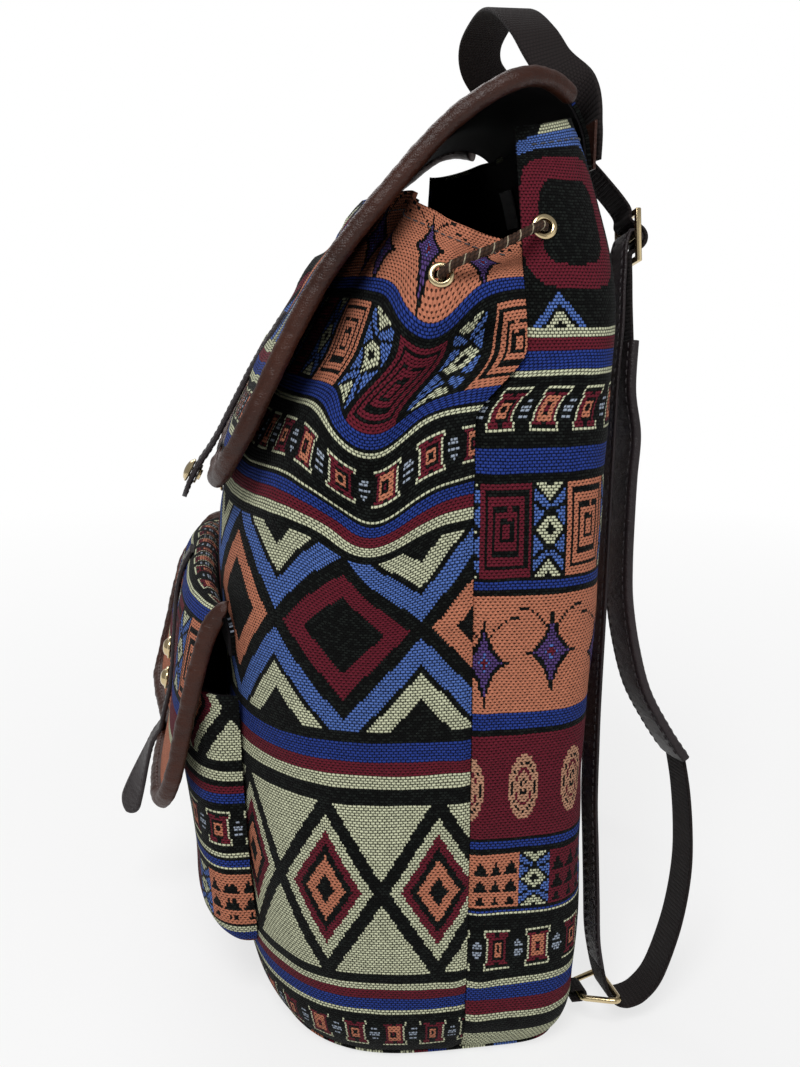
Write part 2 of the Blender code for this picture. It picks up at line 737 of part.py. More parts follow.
flap_tail = over_surface([(-0.0530, 0.3310), (-0.0665, 0.3080), (-0.0780, 0.2860), (-0.0835, 0.2710)], 7, 0.0022,
                         hang=[(-0.0905, 0.2640), (-0.0955, 0.2570), (-0.1005, 0.2480), (-0.1040, 0.2395)])


def strap_tip(name, pts, across, width, thick):
    # A flat strap with a rounded free end: the last rows narrow.
    t = tangents(pts)
    across = unit(np.asarray(across, float))
    verts = []
    n = len(pts)
    run = np.concatenate([[0], np.cumsum(np.linalg.norm(np.diff(pts, axis=0), axis=1))])
    for k in range(n):
        up = unit(np.cross(t[k], across))
        left = run[-1] - run[k]
        r = width / 2
        half = r if left >= r else max(math.sqrt(max(r * r - (r - left) ** 2, 0.0)), r * 0.42)
        for px, py in strip_profile(2 * half, thick):
            verts.append(pts[k] + across * px + up * py)
    faces = []
    for j in range(n - 1):
        for i in range(6):
            i2 = (i + 1) % 6
            faces.append((j * 6 + i, j * 6 + i2, (j + 1) * 6 + i2, (j + 1) * 6 + i))
    faces.append(tuple(reversed(range(6))))
    faces.append(tuple((n - 1) * 6 + i for i in range(6)))
    obj = make(name, verts, faces)
    fix_normals(obj)
    return obj


def tip_rows(pts, width):
    # Resample so that the rounded end gets close rows.
    pts = np.asarray(pts)
    dense = spline(pts, 121)
    run = np.concatenate([[0], np.cumsum(np.linalg.norm(np.diff(dense, axis=0), axis=1))])
    total = run[-1]
    at = list(np.linspace(0, total - width / 2, 14)) + [total - width / 2 * (1 - math.sin(math.pi / 2 * k / 4) * 0.98)
                                                       for k in range(1, 5)]
    return np.stack([np.interp(at, run, dense[:, k]) for k in range(3)], axis=1)


def on_strap(rows, z):
    k = int(np.argmin(np.abs(rows[:, 2] - z)))
    k = min(max(k, 1), len(rows) - 2)
    j = k if rows[k][2] > z else k - 1
    f = (rows[j][2] - z) / (rows[j][2] - rows[j + 1][2])
    p = rows[j] * (1 - f) + rows[j + 1] * f
    d = unit(rows[j + 1] - rows[j])
    n = unit(np.cross(np.array([1.0, 0.0, 0.0]), d))
    if n[1] > 0:
        n = -n
    return p, n


FLAP_STRAP_WIDTH = 0.022
SNAP_Z = 0.2520
flap_rows = tip_rows(flap_tail, FLAP_STRAP_WIDTH)
strap_tip("flap_strap", flap_rows, (1, 0, 0), FLAP_STRAP_WIDTH, 0.0022)
snap_p, snap_n = on_strap(flap_rows, SNAP_Z)
lathe("flap_snap_cap", [(0.0, 0.0006), (0.0058, 0.0006), (0.0062, 0.0014), (0.0052, 0.0028), (0.0030, 0.0037),
                        (0.0, 0.0040)], snap_p + snap_n * 0.0011, snap_n, 18)
lathe("flap_snap_back", [(0.0, 0.0006), (0.0052, 0.0006), (0.0052, 0.0015), (0.0028, 0.0015), (0.0028, 0.0026),
                         (0.0, 0.0026)], snap_p - snap_n * 0.0011, -snap_n, 16)
socket_y = min(panel_y(dx, 0.2480 + dz) for dx in (-0.006, 0.0, 0.006) for dz in (-0.006, 0.0, 0.006))
lathe("body_snap_socket", [(0.0, 0.0005), (0.0060, 0.0005), (0.0060, 0.0014), (0.0056, 0.0020), (0.0032, 0.0020),
                           (0.0030, 0.0011), (0.0, 0.0011)], (0, socket_y, 0.2480), (0, -1, 0), 18)

# Front pocket
POCKET_ROWS = [0.036, 0.039, 0.045, 0.056, 0.075, 0.100, 0.125, 0.147, 0.166]
POCKET_COLS = 22


def pocket_grid():
    grid = np.zeros((len(POCKET_ROWS), POCKET_COLS + 1, 3))
    for j, z in enumerate(POCKET_ROWS):
        rise = min((z - POCKET_ROWS[0]) / 0.020, 1.0)
        full = math.sqrt(max(1 - (1 - rise) ** 2, 0.0))
        depth = 0.0040 + (POCKET_DEPTH - 0.0040) * full - 0.0035 * step01((z - 0.11) / 0.05)
        half = POCKET_HALF_WIDTH - 0.012 * (1 - full)
        ang = np.linspace(0, math.pi, 121)
        px = half * np.sign(np.cos(ang)) * np.abs(np.cos(ang)) ** (2 / 4.5)
        pd = depth * np.abs(np.sin(ang)) ** (2 / 4.5)
        run = np.concatenate([[0], np.cumsum(np.hypot(np.diff(px), np.diff(pd)))])
        for i in range(POCKET_COLS + 1):
            s = run[-1] * i / POCKET_COLS
            x = float(np.interp(s, run, px))
            d = float(np.interp(s, run, pd))
            bulge = 0.0015 * math.sin(z * 60) * (1 - (x / POCKET_HALF_WIDTH) ** 2)
            base = min(panel_y(x * k, z + dz) for k in (1.0, 0.98, 0.96) for dz in (-0.005, 0.0, 0.005))
            grid[j, i] = (x, base - 0.0005 - d - bulge * step01(d / 0.01), z)
    return grid


pocket = pocket_grid()
pn = grid_normals(pocket, False)
flip_pocket = float(pn[5, POCKET_COLS // 2][1]) > 0
sheet("pocket_shell", pocket, 0.0, -FABRIC_T, flip_pocket)
sheet("pocket_lining", inset_ends(pocket[2:], 0.30), L0, L1, flip_pocket)

PFLAP_MID = [(-0.0905, 0.1990), (-0.0915, 0.2070), (-0.0950, 0.2125), (-0.1000, 0.2125), (-0.1045, 0.2060),
             (-0.1075, 0.1940), (-0.1095, 0.1780), (-0.1115, 0.1580), (-0.1145, 0.1360), (-0.1195, 0.1130)]
PFLAP_SIDE = [(-0.0803, 0.1840), (-0.0803, 0.1950), (-0.0822, 0.2045), (-0.0862, 0.2065), (-0.0915, 0.1990),
              (-0.0960, 0.1850), (-0.1000, 0.1700), (-0.1040, 0.1530), (-0.1080, 0.1350), (-0.1130, 0.1130)]
PFLAP_HALF = 0.0900


def pocket_flap_half(v):
    return PFLAP_HALF + 0.0015 * v


pflap = flap_grid(PFLAP_MID, PFLAP_SIDE, pocket_flap_half, 10, 13, 0.80, 0.78, 3.6)
root_shift = [min(panel_y(pflap[0, i, 0], pflap[0, i, 2] + dz) for dz in (-0.003, 0.0, 0.004)) - 0.0006 - pflap[0, i, 1]
              for i in range(pflap.shape[1])]
for j in range(pflap.shape[0]):
    for i in range(pflap.shape[1]):
        x, y, z = pflap[j, i]
        y += root_shift[i] * max(1 - j / 4, 0.0)
        far = max((-x - 0.020) / (PFLAP_HALF - 0.020), 0.0)
        run = j / (pflap.shape[0] - 1)
        pflap[j, i] = (x, y - 0.014 * far * min(run * 2.5, 1.0), z + 0.009 * far * run)
flip_pflap = up_flip(pflap)
sheet("pocket_flap", pflap, 0.0, -FABRIC_T, flip_pflap)
sheet("pocket_flap_lining", pflap, L0, L1, flip_pflap)
edge_binding("pocket_flap_binding", pflap, flip_pflap, 2, 0.0047, 0.0023)

mid_line = [tuple(pflap[j, pflap.shape[1] // 2][1:]) for j in range(2, pflap.shape[0])]
ptail = over_surface(mid_line[:-1], 14, 0.0016, lift_end=0.0028, 
                     hang=[(-0.1265, 0.1080), (-0.1310, 0.0970), (-0.1355, 0.0850),
                                                      (-0.1395, 0.0740), (-0.1425, 0.0650)])
POCKET_STRAP_WIDTH = 0.017
ptail_rows = tip_rows(ptail, POCKET_STRAP_WIDTH)
strap_tip("pocket_strap", ptail_rows, (1, 0, 0), POCKET_STRAP_WIDTH, 0.0022)


STUD = [(0.0, 0.0005), (0.0056, 0.0005), (0.0060, 0.0010), (0.0060, 0.0016), (0.0052, 0.0022), (0.0047, 0.0020),
        (0.0042, 0.0032), (0.0024, 0.0043), (0.0, 0.0047)]
for name, z in (("pocket_stud_upper", 0.1580), ("pocket_stud_lower", 0.1410)):
    p, n = on_strap(ptail_rows, z)
    lathe(name, STUD, p + n * 0.0011, n, 20)
py = float(np.interp(0.112, POCKET_ROWS, pocket[:, POCKET_COLS // 2, 1]))
lathe("pocket_snap_socket", [(0.0, 0.0009), (0.0028, 0.0009), (0.0028, 0.0020), (0.0054, 0.0020), (0.0058, 0.0012),
                             (0.0058, 0.0005), (0.0, 0.0005)][::-1], (0, py - 0.0006, 0.112), (0, -1, 0), 20)

# Handle and shoulder straps
# It leans over the flap, further on the left side than on the right.
HS = HANDLE_HALF_SPAN
handle_path = [(HS, 0.0863, 0.3990), (HS, 0.0863, 0.4120), (HS * 0.97, 0.0840, 0.4220),
               (HS * 0.86, 0.0765, 0.4335), (HS * 0.73, 0.0695, 0.4455), (HS * 0.57, 0.0645, 0.4580),
               (HS * 0.30, 0.0605, 0.4690), (0.0, 0.0582, 0.4738), (-HS * 0.30, 0.0560, 0.4714),
               (-HS * 0.57, 0.0545, 0.4645), (-HS * 0.76, 0.0580, 0.4560), (-HS * 0.90, 0.0680, 0.4465),
               (-HS * 0.97, 0.0790, 0.4345), (-HS, 0.0850, 0.4230), (-HS, 0.0863, 0.4120),
               (-HS, 0.0863, 0.3990)]
hp = spline(handle_path, 66)
ht = tangents(hp)
hsides = []
hups = []
for p, d in zip(hp, ht):
    # flat against the back at the ends, turned edge to front in the loop
    turn = step01((p[2] - 0.412) / 0.036)
    y = np.array([0.0, 1.0, 0.0])
    y = unit(y - d * (y @ d))
    s = unit(np.cross(y, d))
    mixed = unit(y * turn + s * (1 - turn))
    mixed = unit(mixed - d * (mixed @ d))
    hsides.append(mixed)
    hups.append(unit(np.cross(d, mixed)))
sweep("handle", hp, hsides, hups, strip_profile(HANDLE_WIDTH, HANDLE_T))

W_RIGHT = unit(np.array([1.0, 0.0, STRAP_LEAN]))


def strap_points(yz, side):
    out = []
    for y, z in yz:
        x = STRAP_TOP_X + (STRAP_TOP_Z - z) * STRAP_LEAN
        out.append(np.array([side * x, y, z]))
    return out


def around_slider(side):
    rel = [(0.0125, -0.0026), (0.0080, -0.0024), (0.0058, 0.0002), (0.0046, 0.0028), (0.0026, 0.0046),
           (0.0, 0.0053), (-0.0026, 0.0046), (-0.0046, 0.0028), (-0.0058, 0.0002), (-0.0080, -0.0024),
           (-0.0125, -0.0026)]
    return [(SLIDER_Y + b, SLIDER_Z + a) for a, b in rel]


def arc_loop():
    out = [(-0.0220, -0.0058), (-0.0130, -0.0050), (-0.0070, -0.0047), (-0.0040, -0.0045), (-0.0016, -0.0038)]
    for k in range(8):
        ang = math.radians(-70 + 27 * k)
        out.append((0.0031 * math.cos(ang), 0.0031 * math.sin(ang)))
    return [(SLIDER_Y + b, SLIDER_Z + a) for a, b in out]


def slider(name, side):
    c = strap_points([(SLIDER_Y, SLIDER_Z)], side)[0]
    w = W_RIGHT * np.array([side, 1.0, 1.0])
    d = np.array([-w[2], 0.0, w[0]]) * (1 if side > 0 else -1)
    if d[2] < 0:
        d = -d
    n = np.array([0.0, 1.0, 0.0])
    xs = [-0.0150, -0.0122, 0.0122, 0.0150]
    zs = [-0.0122, -0.0094, -0.0014, 0.0014, 0.0094, 0.0122]
    solid = [[True, True, True], [True, False, True], [True, True, True], [True, False, True], [True, True, True]]
    half = 0.0013
    verts = []
    ids = {}
    for layer, h in enumerate((-half, half)):
        for j, z in enumerate(zs):
            for i, x in enumerate(xs):
                ids[(layer, j, i)] = len(verts)
                verts.append(c + w * x + d * z + n * h)
    faces = []
    rows = len(zs) - 1
    cols = len(xs) - 1

    def full(j, i):
        return 0 <= j < rows and 0 <= i < cols and solid[j][i]

    for j in range(rows):
        for i in range(cols):
            if not solid[j][i]:
                continue
            for layer in (0, 1):
                faces.append((ids[(layer, j, i)], ids[(layer, j, i + 1)], ids[(layer, j + 1, i + 1)],
                              ids[(layer, j + 1, i)]))
            for dj, di, e in ((-1, 0, ((j, i), (j, i + 1))), (1, 0, ((j + 1, i), (j + 1, i + 1))),
                              (0, -1, ((j, i), (j + 1, i))), (0, 1, ((j, i + 1), (j + 1, i + 1)))):
                if not full(j + dj, i + di):
                    (a0, a1), (b0, b1) = e
                    faces.append((ids[(0, a0, a1)], ids[(0, b0, b1)], ids[(1, b0, b1)], ids[(1, a0, a1)]))
    obj = make(name, verts, faces)
    fix_normals(obj)
    return obj


def ring(name, side):
    w = W_RIGHT * np.array([side, 1.0, 1.0])
    base = strap_points([(RING_Y, RING_Z)], side)[0]
    tab = strap_points([(RING_TAB_Y, RING_TAB_Z)], side)[0]
    corners = [(base, 0.0168, 0.005), (base, -0.0168, 0.005), (tab, -0.0086, 0.0022), (tab, 0.0086, 0.0022)]
    pts = [c + w * h for c, h, _ in corners]
    radii = [r for _, _, r in corners]
    path = []
    n = len(pts)
    for k in range(n):
        p = pts[k]
        a = unit(pts[k - 1] - p)
        b = unit(pts[(k + 1) % n] - p)
        r = radii[k]
        for t in (0.0, 0.25, 0.5, 0.75, 1.0):
            q0 = p + a * r
            q1 = p + b * r
            path.append(q0 * (1 - t) ** 2 + p * 2 * t * (1 - t) + q1 * t * t)
        nxt = pts[(k + 1) % n] + unit(p - pts[(k + 1) % n]) * radii[(k + 1) % n]
        path.append((p + b * r + nxt) / 2)
    tube(name, path, RING_WIRE, 10, True)


TAB_R = 0.0026
for label, side in (("right", 1.0), ("left", -1.0)):
    w = W_RIGHT * np.array([side, 1.0, 1.0])
    upper = [(0.0856, 0.4160), (0.0857, 0.4080), (0.0885, 0.4010), (0.0965, 0.3920), (0.1040, 0.3835)]
    below = [(SLIDER_Y - 0.0026, 0.3460), (0.1080, 0.3340), (0.1082, 0.3180)]
    body = around_slider(side)
    strip("strap_upper_" + label, strap_points(upper + body + below, side), w, WEB_WIDTH, WEB_T)
    slider("slider_" + label, side)
    pad = [(0.1083, 0.3176), (0.1065, 0.2950), (0.1085, 0.2750), (0.1065, 0.2560), (0.1050, 0.2383),
           (0.1035, 0.2150), (0.1035, 0.1980), (0.1062, 0.1770), (0.1115, 0.1560), (0.1215, 0.1370),
           (0.1300, 0.1240)]
    strip("strap_pad_" + label, spline(strap_points(pad, side), 20), w, PAD_WIDTH, PAD_T)
    web = [(0.1303, 0.1235), (0.1325, 0.1080), (0.1335, 0.0900), (0.1330, 0.0720), (0.1300, 0.0540),
           (0.1250, 0.0370), (0.1170, 0.0190), (0.1090, 0.0105), (0.1020, 0.0078), (0.0975, 0.0082),
           (0.0945, 0.0098), (0.0922, 0.0125), (0.0908, 0.0160), (0.0895, 0.0210), (0.0885, 0.0262)]
    strip("strap_webbing_" + label, spline(strap_points(web, side), 30), w, WEB_WIDTH, WEB_T)
    back_run = [(0.0884, 0.0268), (0.0868, 0.0400), (0.0868, 0.0600), (0.0868, 0.0860), (0.0868, 0.1060),
                (0.0880, 0.1300), (0.0895, 0.1540), (0.0930, 0.1980), (0.0960, 0.2383), (0.0985, 0.2700),
                (0.1010, 0.3000), (0.1038, 0.3240)]
    loop_pts = arc_loop()
    pts = list(spline(strap_points(back_run + loop_pts[:1], side), 26)) + strap_points(loop_pts[1:], side)
    strip("strap_return_" + label, pts, w, WEB_WIDTH, WEB_T)
    ring("ring_" + label, side)
    tabs = [(0.0745, RING_TAB_Z + TAB_R)]
    for k in range(9):
        ang = math.radians(90 - 22.5 * k)
        tabs.append((RING_TAB_Y + TAB_R * math.cos(ang), RING_TAB_Z + TAB_R * math.sin(ang)))
    tabs.append((0.0745, RING_TAB_Z - TAB_R))
    strip("ring_tab_" + label, strap_points(tabs, side), w, 0.0120, 0.0012)

# Patch on the back, under the ends of the straps and the handle
patch = []
for j, z in enumerate((0.394, 0.404, 0.414)):
    row = []
    for i in range(13):
        x = -0.078 + 0.013 * i
        y = 0.0846 - 0.0022 * (abs(x) / 0.078) ** 4
        row.append((x, y, z))
    patch.append(row)
patch = np.array(patch)
pn = grid_normals(patch, False)
sheet("anchor_patch", patch, 0.0, -0.0011, float(pn[1, 6][1]) < 0)

# Blank label inside the back
lab = []
for j in range(3):
    row = []
    for i in range(4):
        x = -0.064 + 0.008 * i
        z = 0.3755 + 0.010 * j
        row.append((x, back_panel_y(x, z) + L1 - 0.0009, z))
    lab.append(row)
lab = np.array(lab)
ln = grid_normals(lab, False)
sheet("inner_label", lab, 0.0, -0.0005, float(ln[1, 1][1]) < 0)

for obj in list(bpy.data.objects):
    if obj.name in ("Cube", "Light", "Camera") or obj.type != "MESH":
        bpy.data.objects.remove(obj)
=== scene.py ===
import math

import bmesh
import bpy
import numpy as np
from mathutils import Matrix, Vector
from mathutils.bvhtree import BVHTree


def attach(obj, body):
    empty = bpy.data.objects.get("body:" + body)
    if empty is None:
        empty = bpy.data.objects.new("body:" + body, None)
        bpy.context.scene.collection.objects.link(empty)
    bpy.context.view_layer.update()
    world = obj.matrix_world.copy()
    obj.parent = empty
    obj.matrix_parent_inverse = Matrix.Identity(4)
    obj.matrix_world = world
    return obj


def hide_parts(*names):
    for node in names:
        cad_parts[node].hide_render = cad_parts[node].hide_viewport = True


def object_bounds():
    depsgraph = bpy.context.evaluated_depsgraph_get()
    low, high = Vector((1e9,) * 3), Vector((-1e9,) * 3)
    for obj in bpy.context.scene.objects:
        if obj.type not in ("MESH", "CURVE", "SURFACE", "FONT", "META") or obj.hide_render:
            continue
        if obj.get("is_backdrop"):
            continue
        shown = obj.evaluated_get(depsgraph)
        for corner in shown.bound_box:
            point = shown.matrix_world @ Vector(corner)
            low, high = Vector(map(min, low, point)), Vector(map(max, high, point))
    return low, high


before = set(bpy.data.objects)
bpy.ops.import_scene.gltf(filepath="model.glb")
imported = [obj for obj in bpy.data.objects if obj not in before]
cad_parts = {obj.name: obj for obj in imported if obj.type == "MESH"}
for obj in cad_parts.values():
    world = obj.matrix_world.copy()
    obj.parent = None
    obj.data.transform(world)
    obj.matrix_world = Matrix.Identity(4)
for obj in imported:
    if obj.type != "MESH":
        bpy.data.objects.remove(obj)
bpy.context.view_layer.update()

# Driving dimensions
SEAM_Y = 0.018
SEAM_TOP_Y = 0.040
FABRIC_T = 0.0016
LINING_T = 0.0009
GAP = 0.0003
BASE_T = 0.0027
POCKET_HALF_WIDTH = 0.094
POCKET_DEPTH = 0.0225
BINDING_HALF_WIDTH = 0.0052
BINDING_HALF_T = 0.0030
WEB_WIDTH = 0.022
WEB_T = 0.0016
PAD_WIDTH = 0.030
PAD_T = 0.0042
STRAP_TOP_X = 0.032
STRAP_TOP_Z = 0.427
STRAP_LEAN = 0.193
SLIDER_Z = 0.3651
SLIDER_Y = 0.1107
RING_Y = 0.0950
RING_Z = 0.0135
RING_TAB_Y = 0.0788
RING_TAB_Z = 0.0130
RING_WIRE = 0.0014
CORD_R = 0.0019
EYELET_HOLE = 0.0029
EYELET_BARREL = 0.0033
EYELET_FLANGE = 0.0052
HANDLE_WIDTH = 0.022
HANDLE_T = 0.0024
HANDLE_HALF_SPAN = 0.060

BODY_Z = [0.0, 0.006, 0.015, 0.035, 0.080, 0.150, 0.230, 0.275, 0.310, 0.345, 0.383, 0.415]
BODY_A = [0.128, 0.1325, 0.137, 0.1405, 0.143, 0.1435, 0.1425, 0.140, 0.134, 0.1265, 0.114, 0.102]
BODY_F = [0.086, 0.090, 0.0940, 0.098, 0.1015, 0.1030, 0.1035, 0.0930, 0.0705, 0.0480, 0.0225, 0.016]
BODY_B = [0.053, 0.0565, 0.0590, 0.0605, 0.0595, 0.0605, 0.0630, 0.0665, 0.0690, 0.0690, 0.0635, 0.0530]
FRONT_POWER = 3.2
BACK_POWER = 6.0


def smooth_table(xs, ys, x):
    xs = np.asarray(xs, float)
    ys = np.asarray(ys, float)
    slope = np.gradient(ys, xs)
    x = min(max(x, xs[0]), xs[-1])
    i = int(min(max(np.searchsorted(xs, x) - 1, 0), len(xs) - 2))
    h = xs[i + 1] - xs[i]
    t = (x - xs[i]) / h
    a = ys[i] * (1 + 2 * t) * (1 - t) ** 2
    b = slope[i] * h * t * (1 - t) ** 2
    c = ys[i + 1] * t * t * (3 - 2 * t)
    d = slope[i + 1] * h * t * t * (t - 1)
    return a + b + c + d


def step01(x):
    x = min(max(x, 0.0), 1.0)
    return x * x * (3 - 2 * x)


def unit(v):
    return v / max(np.linalg.norm(v), 1e-12)


def grid_normals(grid, flip):
    du = np.gradient(grid, axis=1)
    dv = np.gradient(grid, axis=0)
    n = np.cross(du, dv)
    n /= np.maximum(np.linalg.norm(n, axis=2, keepdims=True), 1e-12)
    return -n if flip else n


def fix_normals(obj):
    bm = bmesh.new()
    bm.from_mesh(obj.data)
    bmesh.ops.recalc_face_normals(bm, faces=bm.faces)
    if bm.calc_volume(signed=True) < 0:
        bmesh.ops.reverse_faces(bm, faces=bm.faces)
    bm.to_mesh(obj.data)
    bm.free()


def tangents(points, closed=False):
    pts = np.asarray(points, float)
    step = np.roll(pts, -1, axis=0) - pts
    step /= np.maximum(np.linalg.norm(step, axis=1, keepdims=True), 1e-12)
    if not closed:
        step[-1] = step[-2]
    back_step = np.roll(step, 1, axis=0)
    if not closed:
        back_step[0] = step[0]
    d = step + back_step
    return d / np.linalg.norm(d, axis=1, keepdims=True)


CREASE = [(0.022, 0.322), (0.011, 0.316), (0.001, 0.305), (-0.009, 0.288), (-0.021, 0.270), (-0.036, 0.250)]


def crease_depth(y, z):
    best = 1.0
    along = 0.0
    for k in range(len(CREASE) - 1):
        p = np.array(CREASE[k])
        q = np.array(CREASE[k + 1])
        d = q - p
        t = min(max(float(((y - p[0]) * d[0] + (z - p[1]) * d[1]) / (d @ d)), 0.0), 1.0)
        c = p + d * t
        r = math.hypot(y - c[0], z - c[1])
        if r < best:
            best = r
            along = (k + t) / (len(CREASE) - 1)
    fade = 1.0 - 0.55 * along
    dip = -0.0085 * fade * math.exp(-(best / 0.0085) ** 2)
    return dip + 0.0030 * math.exp(-((best - 0.020) / 0.010) ** 2)


def seam_y(z):
    return SEAM_Y + (SEAM_TOP_Y - SEAM_Y) * step01((z - 0.292) / 0.030)


def front_y(x, z):
    a = smooth_table(BODY_Z, BODY_A, z)
    bf = smooth_table(BODY_Z, BODY_F, z)
    return SEAM_Y - bf * (1 - min(abs(x) / a, 0.999) ** FRONT_POWER) ** (1 / FRONT_POWER)


def run_of(points):
    # Length along a line of points, from 0 at its start.
    return np.concatenate([[0], np.cumsum(np.linalg.norm(np.diff(points, axis=0), axis=1))])


def sample(points, run, at):
    # Points at the given lengths along a line whose own points lie at the lengths in run.
    return np.stack([np.interp(at, run, points[:, k]) for k in range(points.shape[1])], axis=1)


def mm(*points):
    # Points given in millimetres, as metres.
    return [tuple(round(c / 1000, 7) for c in p) for p in points]


def spline(points, count):
    # Evenly spaced points on a smooth curve through the given ones.
    pts = np.asarray(points, float)
    last = len(pts) - 1
    dense = []
    for i in range(last):
        p0, p1, p2, p3 = pts[max(i - 1, 0)], pts[i], pts[i + 1], pts[min(i + 2, last)]
        for k in range(16):
            t = k / 16
            dense.append(0.5 * (2 * p1 + (p2 - p0) * t + (2 * p0 - 5 * p1 + 4 * p2 - p3) * t * t
                                + (3 * p1 - p0 - 3 * p2 + p3) * t ** 3))
    dense = np.array(dense + [pts[-1]])
    run = run_of(dense)
    return sample(dense, run, np.linspace(0, run[-1], count))


def body_row(us, z, front):
    # One level of the body: us runs 0..1 from the right seam round the front or the back to the left seam.
    a = smooth_table(BODY_Z, BODY_A, z)
    bf = smooth_table(BODY_Z, BODY_F, z)
    bb = smooth_table(BODY_Z, BODY_B, z)
    ys = seam_y(z)
    s0 = math.asin(min(((ys - SEAM_Y) / bb) ** (BACK_POWER / 2), 1.0)) if ys > SEAM_Y + 1e-6 else 0.0
    ang = np.linspace(s0, (-math.pi if front else math.pi) - s0, 721)
    co = np.cos(ang)
    si = np.sin(ang)
    p = np.where(si > 0, BACK_POWER, FRONT_POWER)
    b = np.where(si > 0, bb, bf)
    x = a * np.sign(co) * np.abs(co) ** (2 / p)
    y = SEAM_Y + b * np.sign(si) * np.abs(si) ** (2 / p)
    run = np.concatenate([[0], np.cumsum(np.hypot(np.diff(x), np.diff(y)))])
    total = run[-1]
    s = GAP / 2 + np.asarray(us) * (total - GAP)
    px = np.interp(s, run, x)
    py = np.interp(s, run, y)
    e = 0.003
    qx = np.interp(np.minimum(s + e, total), run, x) - np.interp(np.maximum(s - e, 0), run, x)
    qy = np.interp(np.minimum(s + e, total), run, y) - np.interp(np.maximum(s - e, 0), run, y)
    ln = np.hypot(qx, qy)
    nx = -qy / ln
    ny = qx / ln
    turn = np.where(nx * px + ny * (py - 0.01) < 0, -1.0, 1.0)
    nx = nx * turn
    ny = ny * turn
    mid = s - total / 2
    edge = np.minimum(s, total - s)
    out = []
    for k in range(len(s)):
        d = 0.0
        m = mid[k]
        if front:
            side = step01((abs(px[k]) - 0.075) / 0.035)
            d += crease_depth(py[k], z) * side * step01((z - 0.235) / 0.02)
            fold = step01((z - 0.315) / 0.05) * step01((0.150 - abs(m)) / 0.02)
            d += 0.0024 * fold * math.cos(2 * math.pi * m / 0.0345)
            d += 0.0012 * math.sin(z * 58 + 0.4) * math.sin(abs(m) * 30) * step01(z / 0.05) * (1 - fold)
        else:
            d += (0.0012 * math.sin(z * 47 + 1.0) * math.sin(m * 24 + 0.5) * step01(z / 0.05)
                  * step01((0.39 - z) / 0.04))
        # drawn in along the seam, with small puckers beside it
        d -= 0.0014 * math.exp(-(edge[k] / 0.0028) ** 2)
        d += 0.0006 * math.sin(z * 330 + math.sin(z * 90)) * math.exp(-((edge[k] - 0.007) / 0.006) ** 2)
        fine = math.sin(z * 95 + 6 * math.sin(m * 17)) * math.sin(m * 61 + 3 * math.sin(z * 23))
        d += 0.0004 * fine * step01(z / 0.04)
        out.append((px[k] + nx[k] * d, py[k] + ny[k] * d, z))
    return np.array(out)


def body_point(u, z, front):
    return body_row([u], z, front)[0]


def body_length(z, front):
    row = body_row(np.linspace(0.0, 1.0, 200), z, front)
    return float(np.linalg.norm(np.diff(row, axis=0), axis=1).sum())


# Mesh builders

def finish_mesh(name, verts, faces, uvs, mat, node=None, sharp=40, body="bag"):
    # A visible piece on its body, with the material slot it takes and the solid it replaces.
    mesh = bpy.data.meshes.new(name)
    mesh.from_pydata([tuple(float(c) for c in v) for v in verts], [], faces)
    if uvs is not None:
        layer = mesh.uv_layers.new(name="UVMap")
        layer.data.foreach_set("uv", np.asarray(uvs, np.float32).reshape(-1))
    mesh.validate()
    return place_mesh(name, mesh, mat, node, sharp, body)


def place_mesh(name, mesh, mat, node, sharp, body):
    obj = bpy.data.objects.new(name, mesh)
    bpy.context.scene.collection.objects.link(obj)
    mesh.polygons.foreach_set("use_smooth", [True] * len(mesh.polygons))
    if sharp:
        mesh.set_sharp_from_angle(angle=math.radians(sharp))
    mesh.materials.append(mat)
    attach(obj, body)
    if node:
        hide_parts(node)
    return obj


# For each side of a cell: the step to its neighbour, and the two corners between them.
CELL_SIDES = [((-1, 0), (0, 0), (0, 1)), ((0, 1), (0, 1), (1, 1)), ((1, 0), (1, 1), (1, 0)),
              ((0, -1), (1, 0), (0, 0))]


def cloth(name, grid, t_out, t_in, uv, mat, node, flip=False, holes=(), square_ends=False):
    # A closed cloth piece between two offsets of one fine grid, with round holes cut at the given points.
    n = grid_normals(grid, flip)
    rows, cols = grid.shape[:2]
    if square_ends:
        for i in (0, cols - 1):
            n[:, i] = (math.copysign(1.0, grid[rows // 2, i, 0]), 0.0, 0.0)
    verts = np.concatenate([(grid + n * t).reshape(-1, 3) for t in (t_out, t_in)])
    size = rows * cols
    keep = np.ones((rows - 1, cols - 1), bool)
    mid = (grid[:-1, :-1] + grid[1:, :-1] + grid[1:, 1:] + grid[:-1, 1:]) / 4
    for c, r in holes:
        keep &= np.linalg.norm(mid - np.asarray(c), axis=2) > r
    faces = []
    luv = []

    def quad(ids, uvq):
        faces.append(tuple(ids[::-1] if flip else ids))
        luv.extend(uvq[::-1] if flip else uvq)

    for j, i in zip(*np.nonzero(keep)):
        j = int(j)
        i = int(i)
        a = j * cols + i
        q = [uv[j, i], uv[j, i + 1], uv[j + 1, i + 1], uv[j + 1, i]]
        quad([a, a + 1, a + cols + 1, a + cols], q)
        quad([size + a, size + a + cols, size + a + cols + 1, size + a + 1], [q[0], q[3], q[2], q[1]])
        for (dj, di), p, r in CELL_SIDES:
            jj = j + dj
            ii = i + di
            if 0 <= jj < rows - 1 and 0 <= ii < cols - 1 and keep[jj, ii]:
                continue
            b = (j + p[0]) * cols + i + p[1]
            c = (j + r[0]) * cols + i + r[1]
            ub = uv[j + p[0], i + p[1]]
            uc = uv[j + r[0], i + r[1]]
            quad([c, b, size + b, size + c], [uc, ub, ub, uc])
    return finish_mesh(name, verts, faces, luv, mat, node, 60)


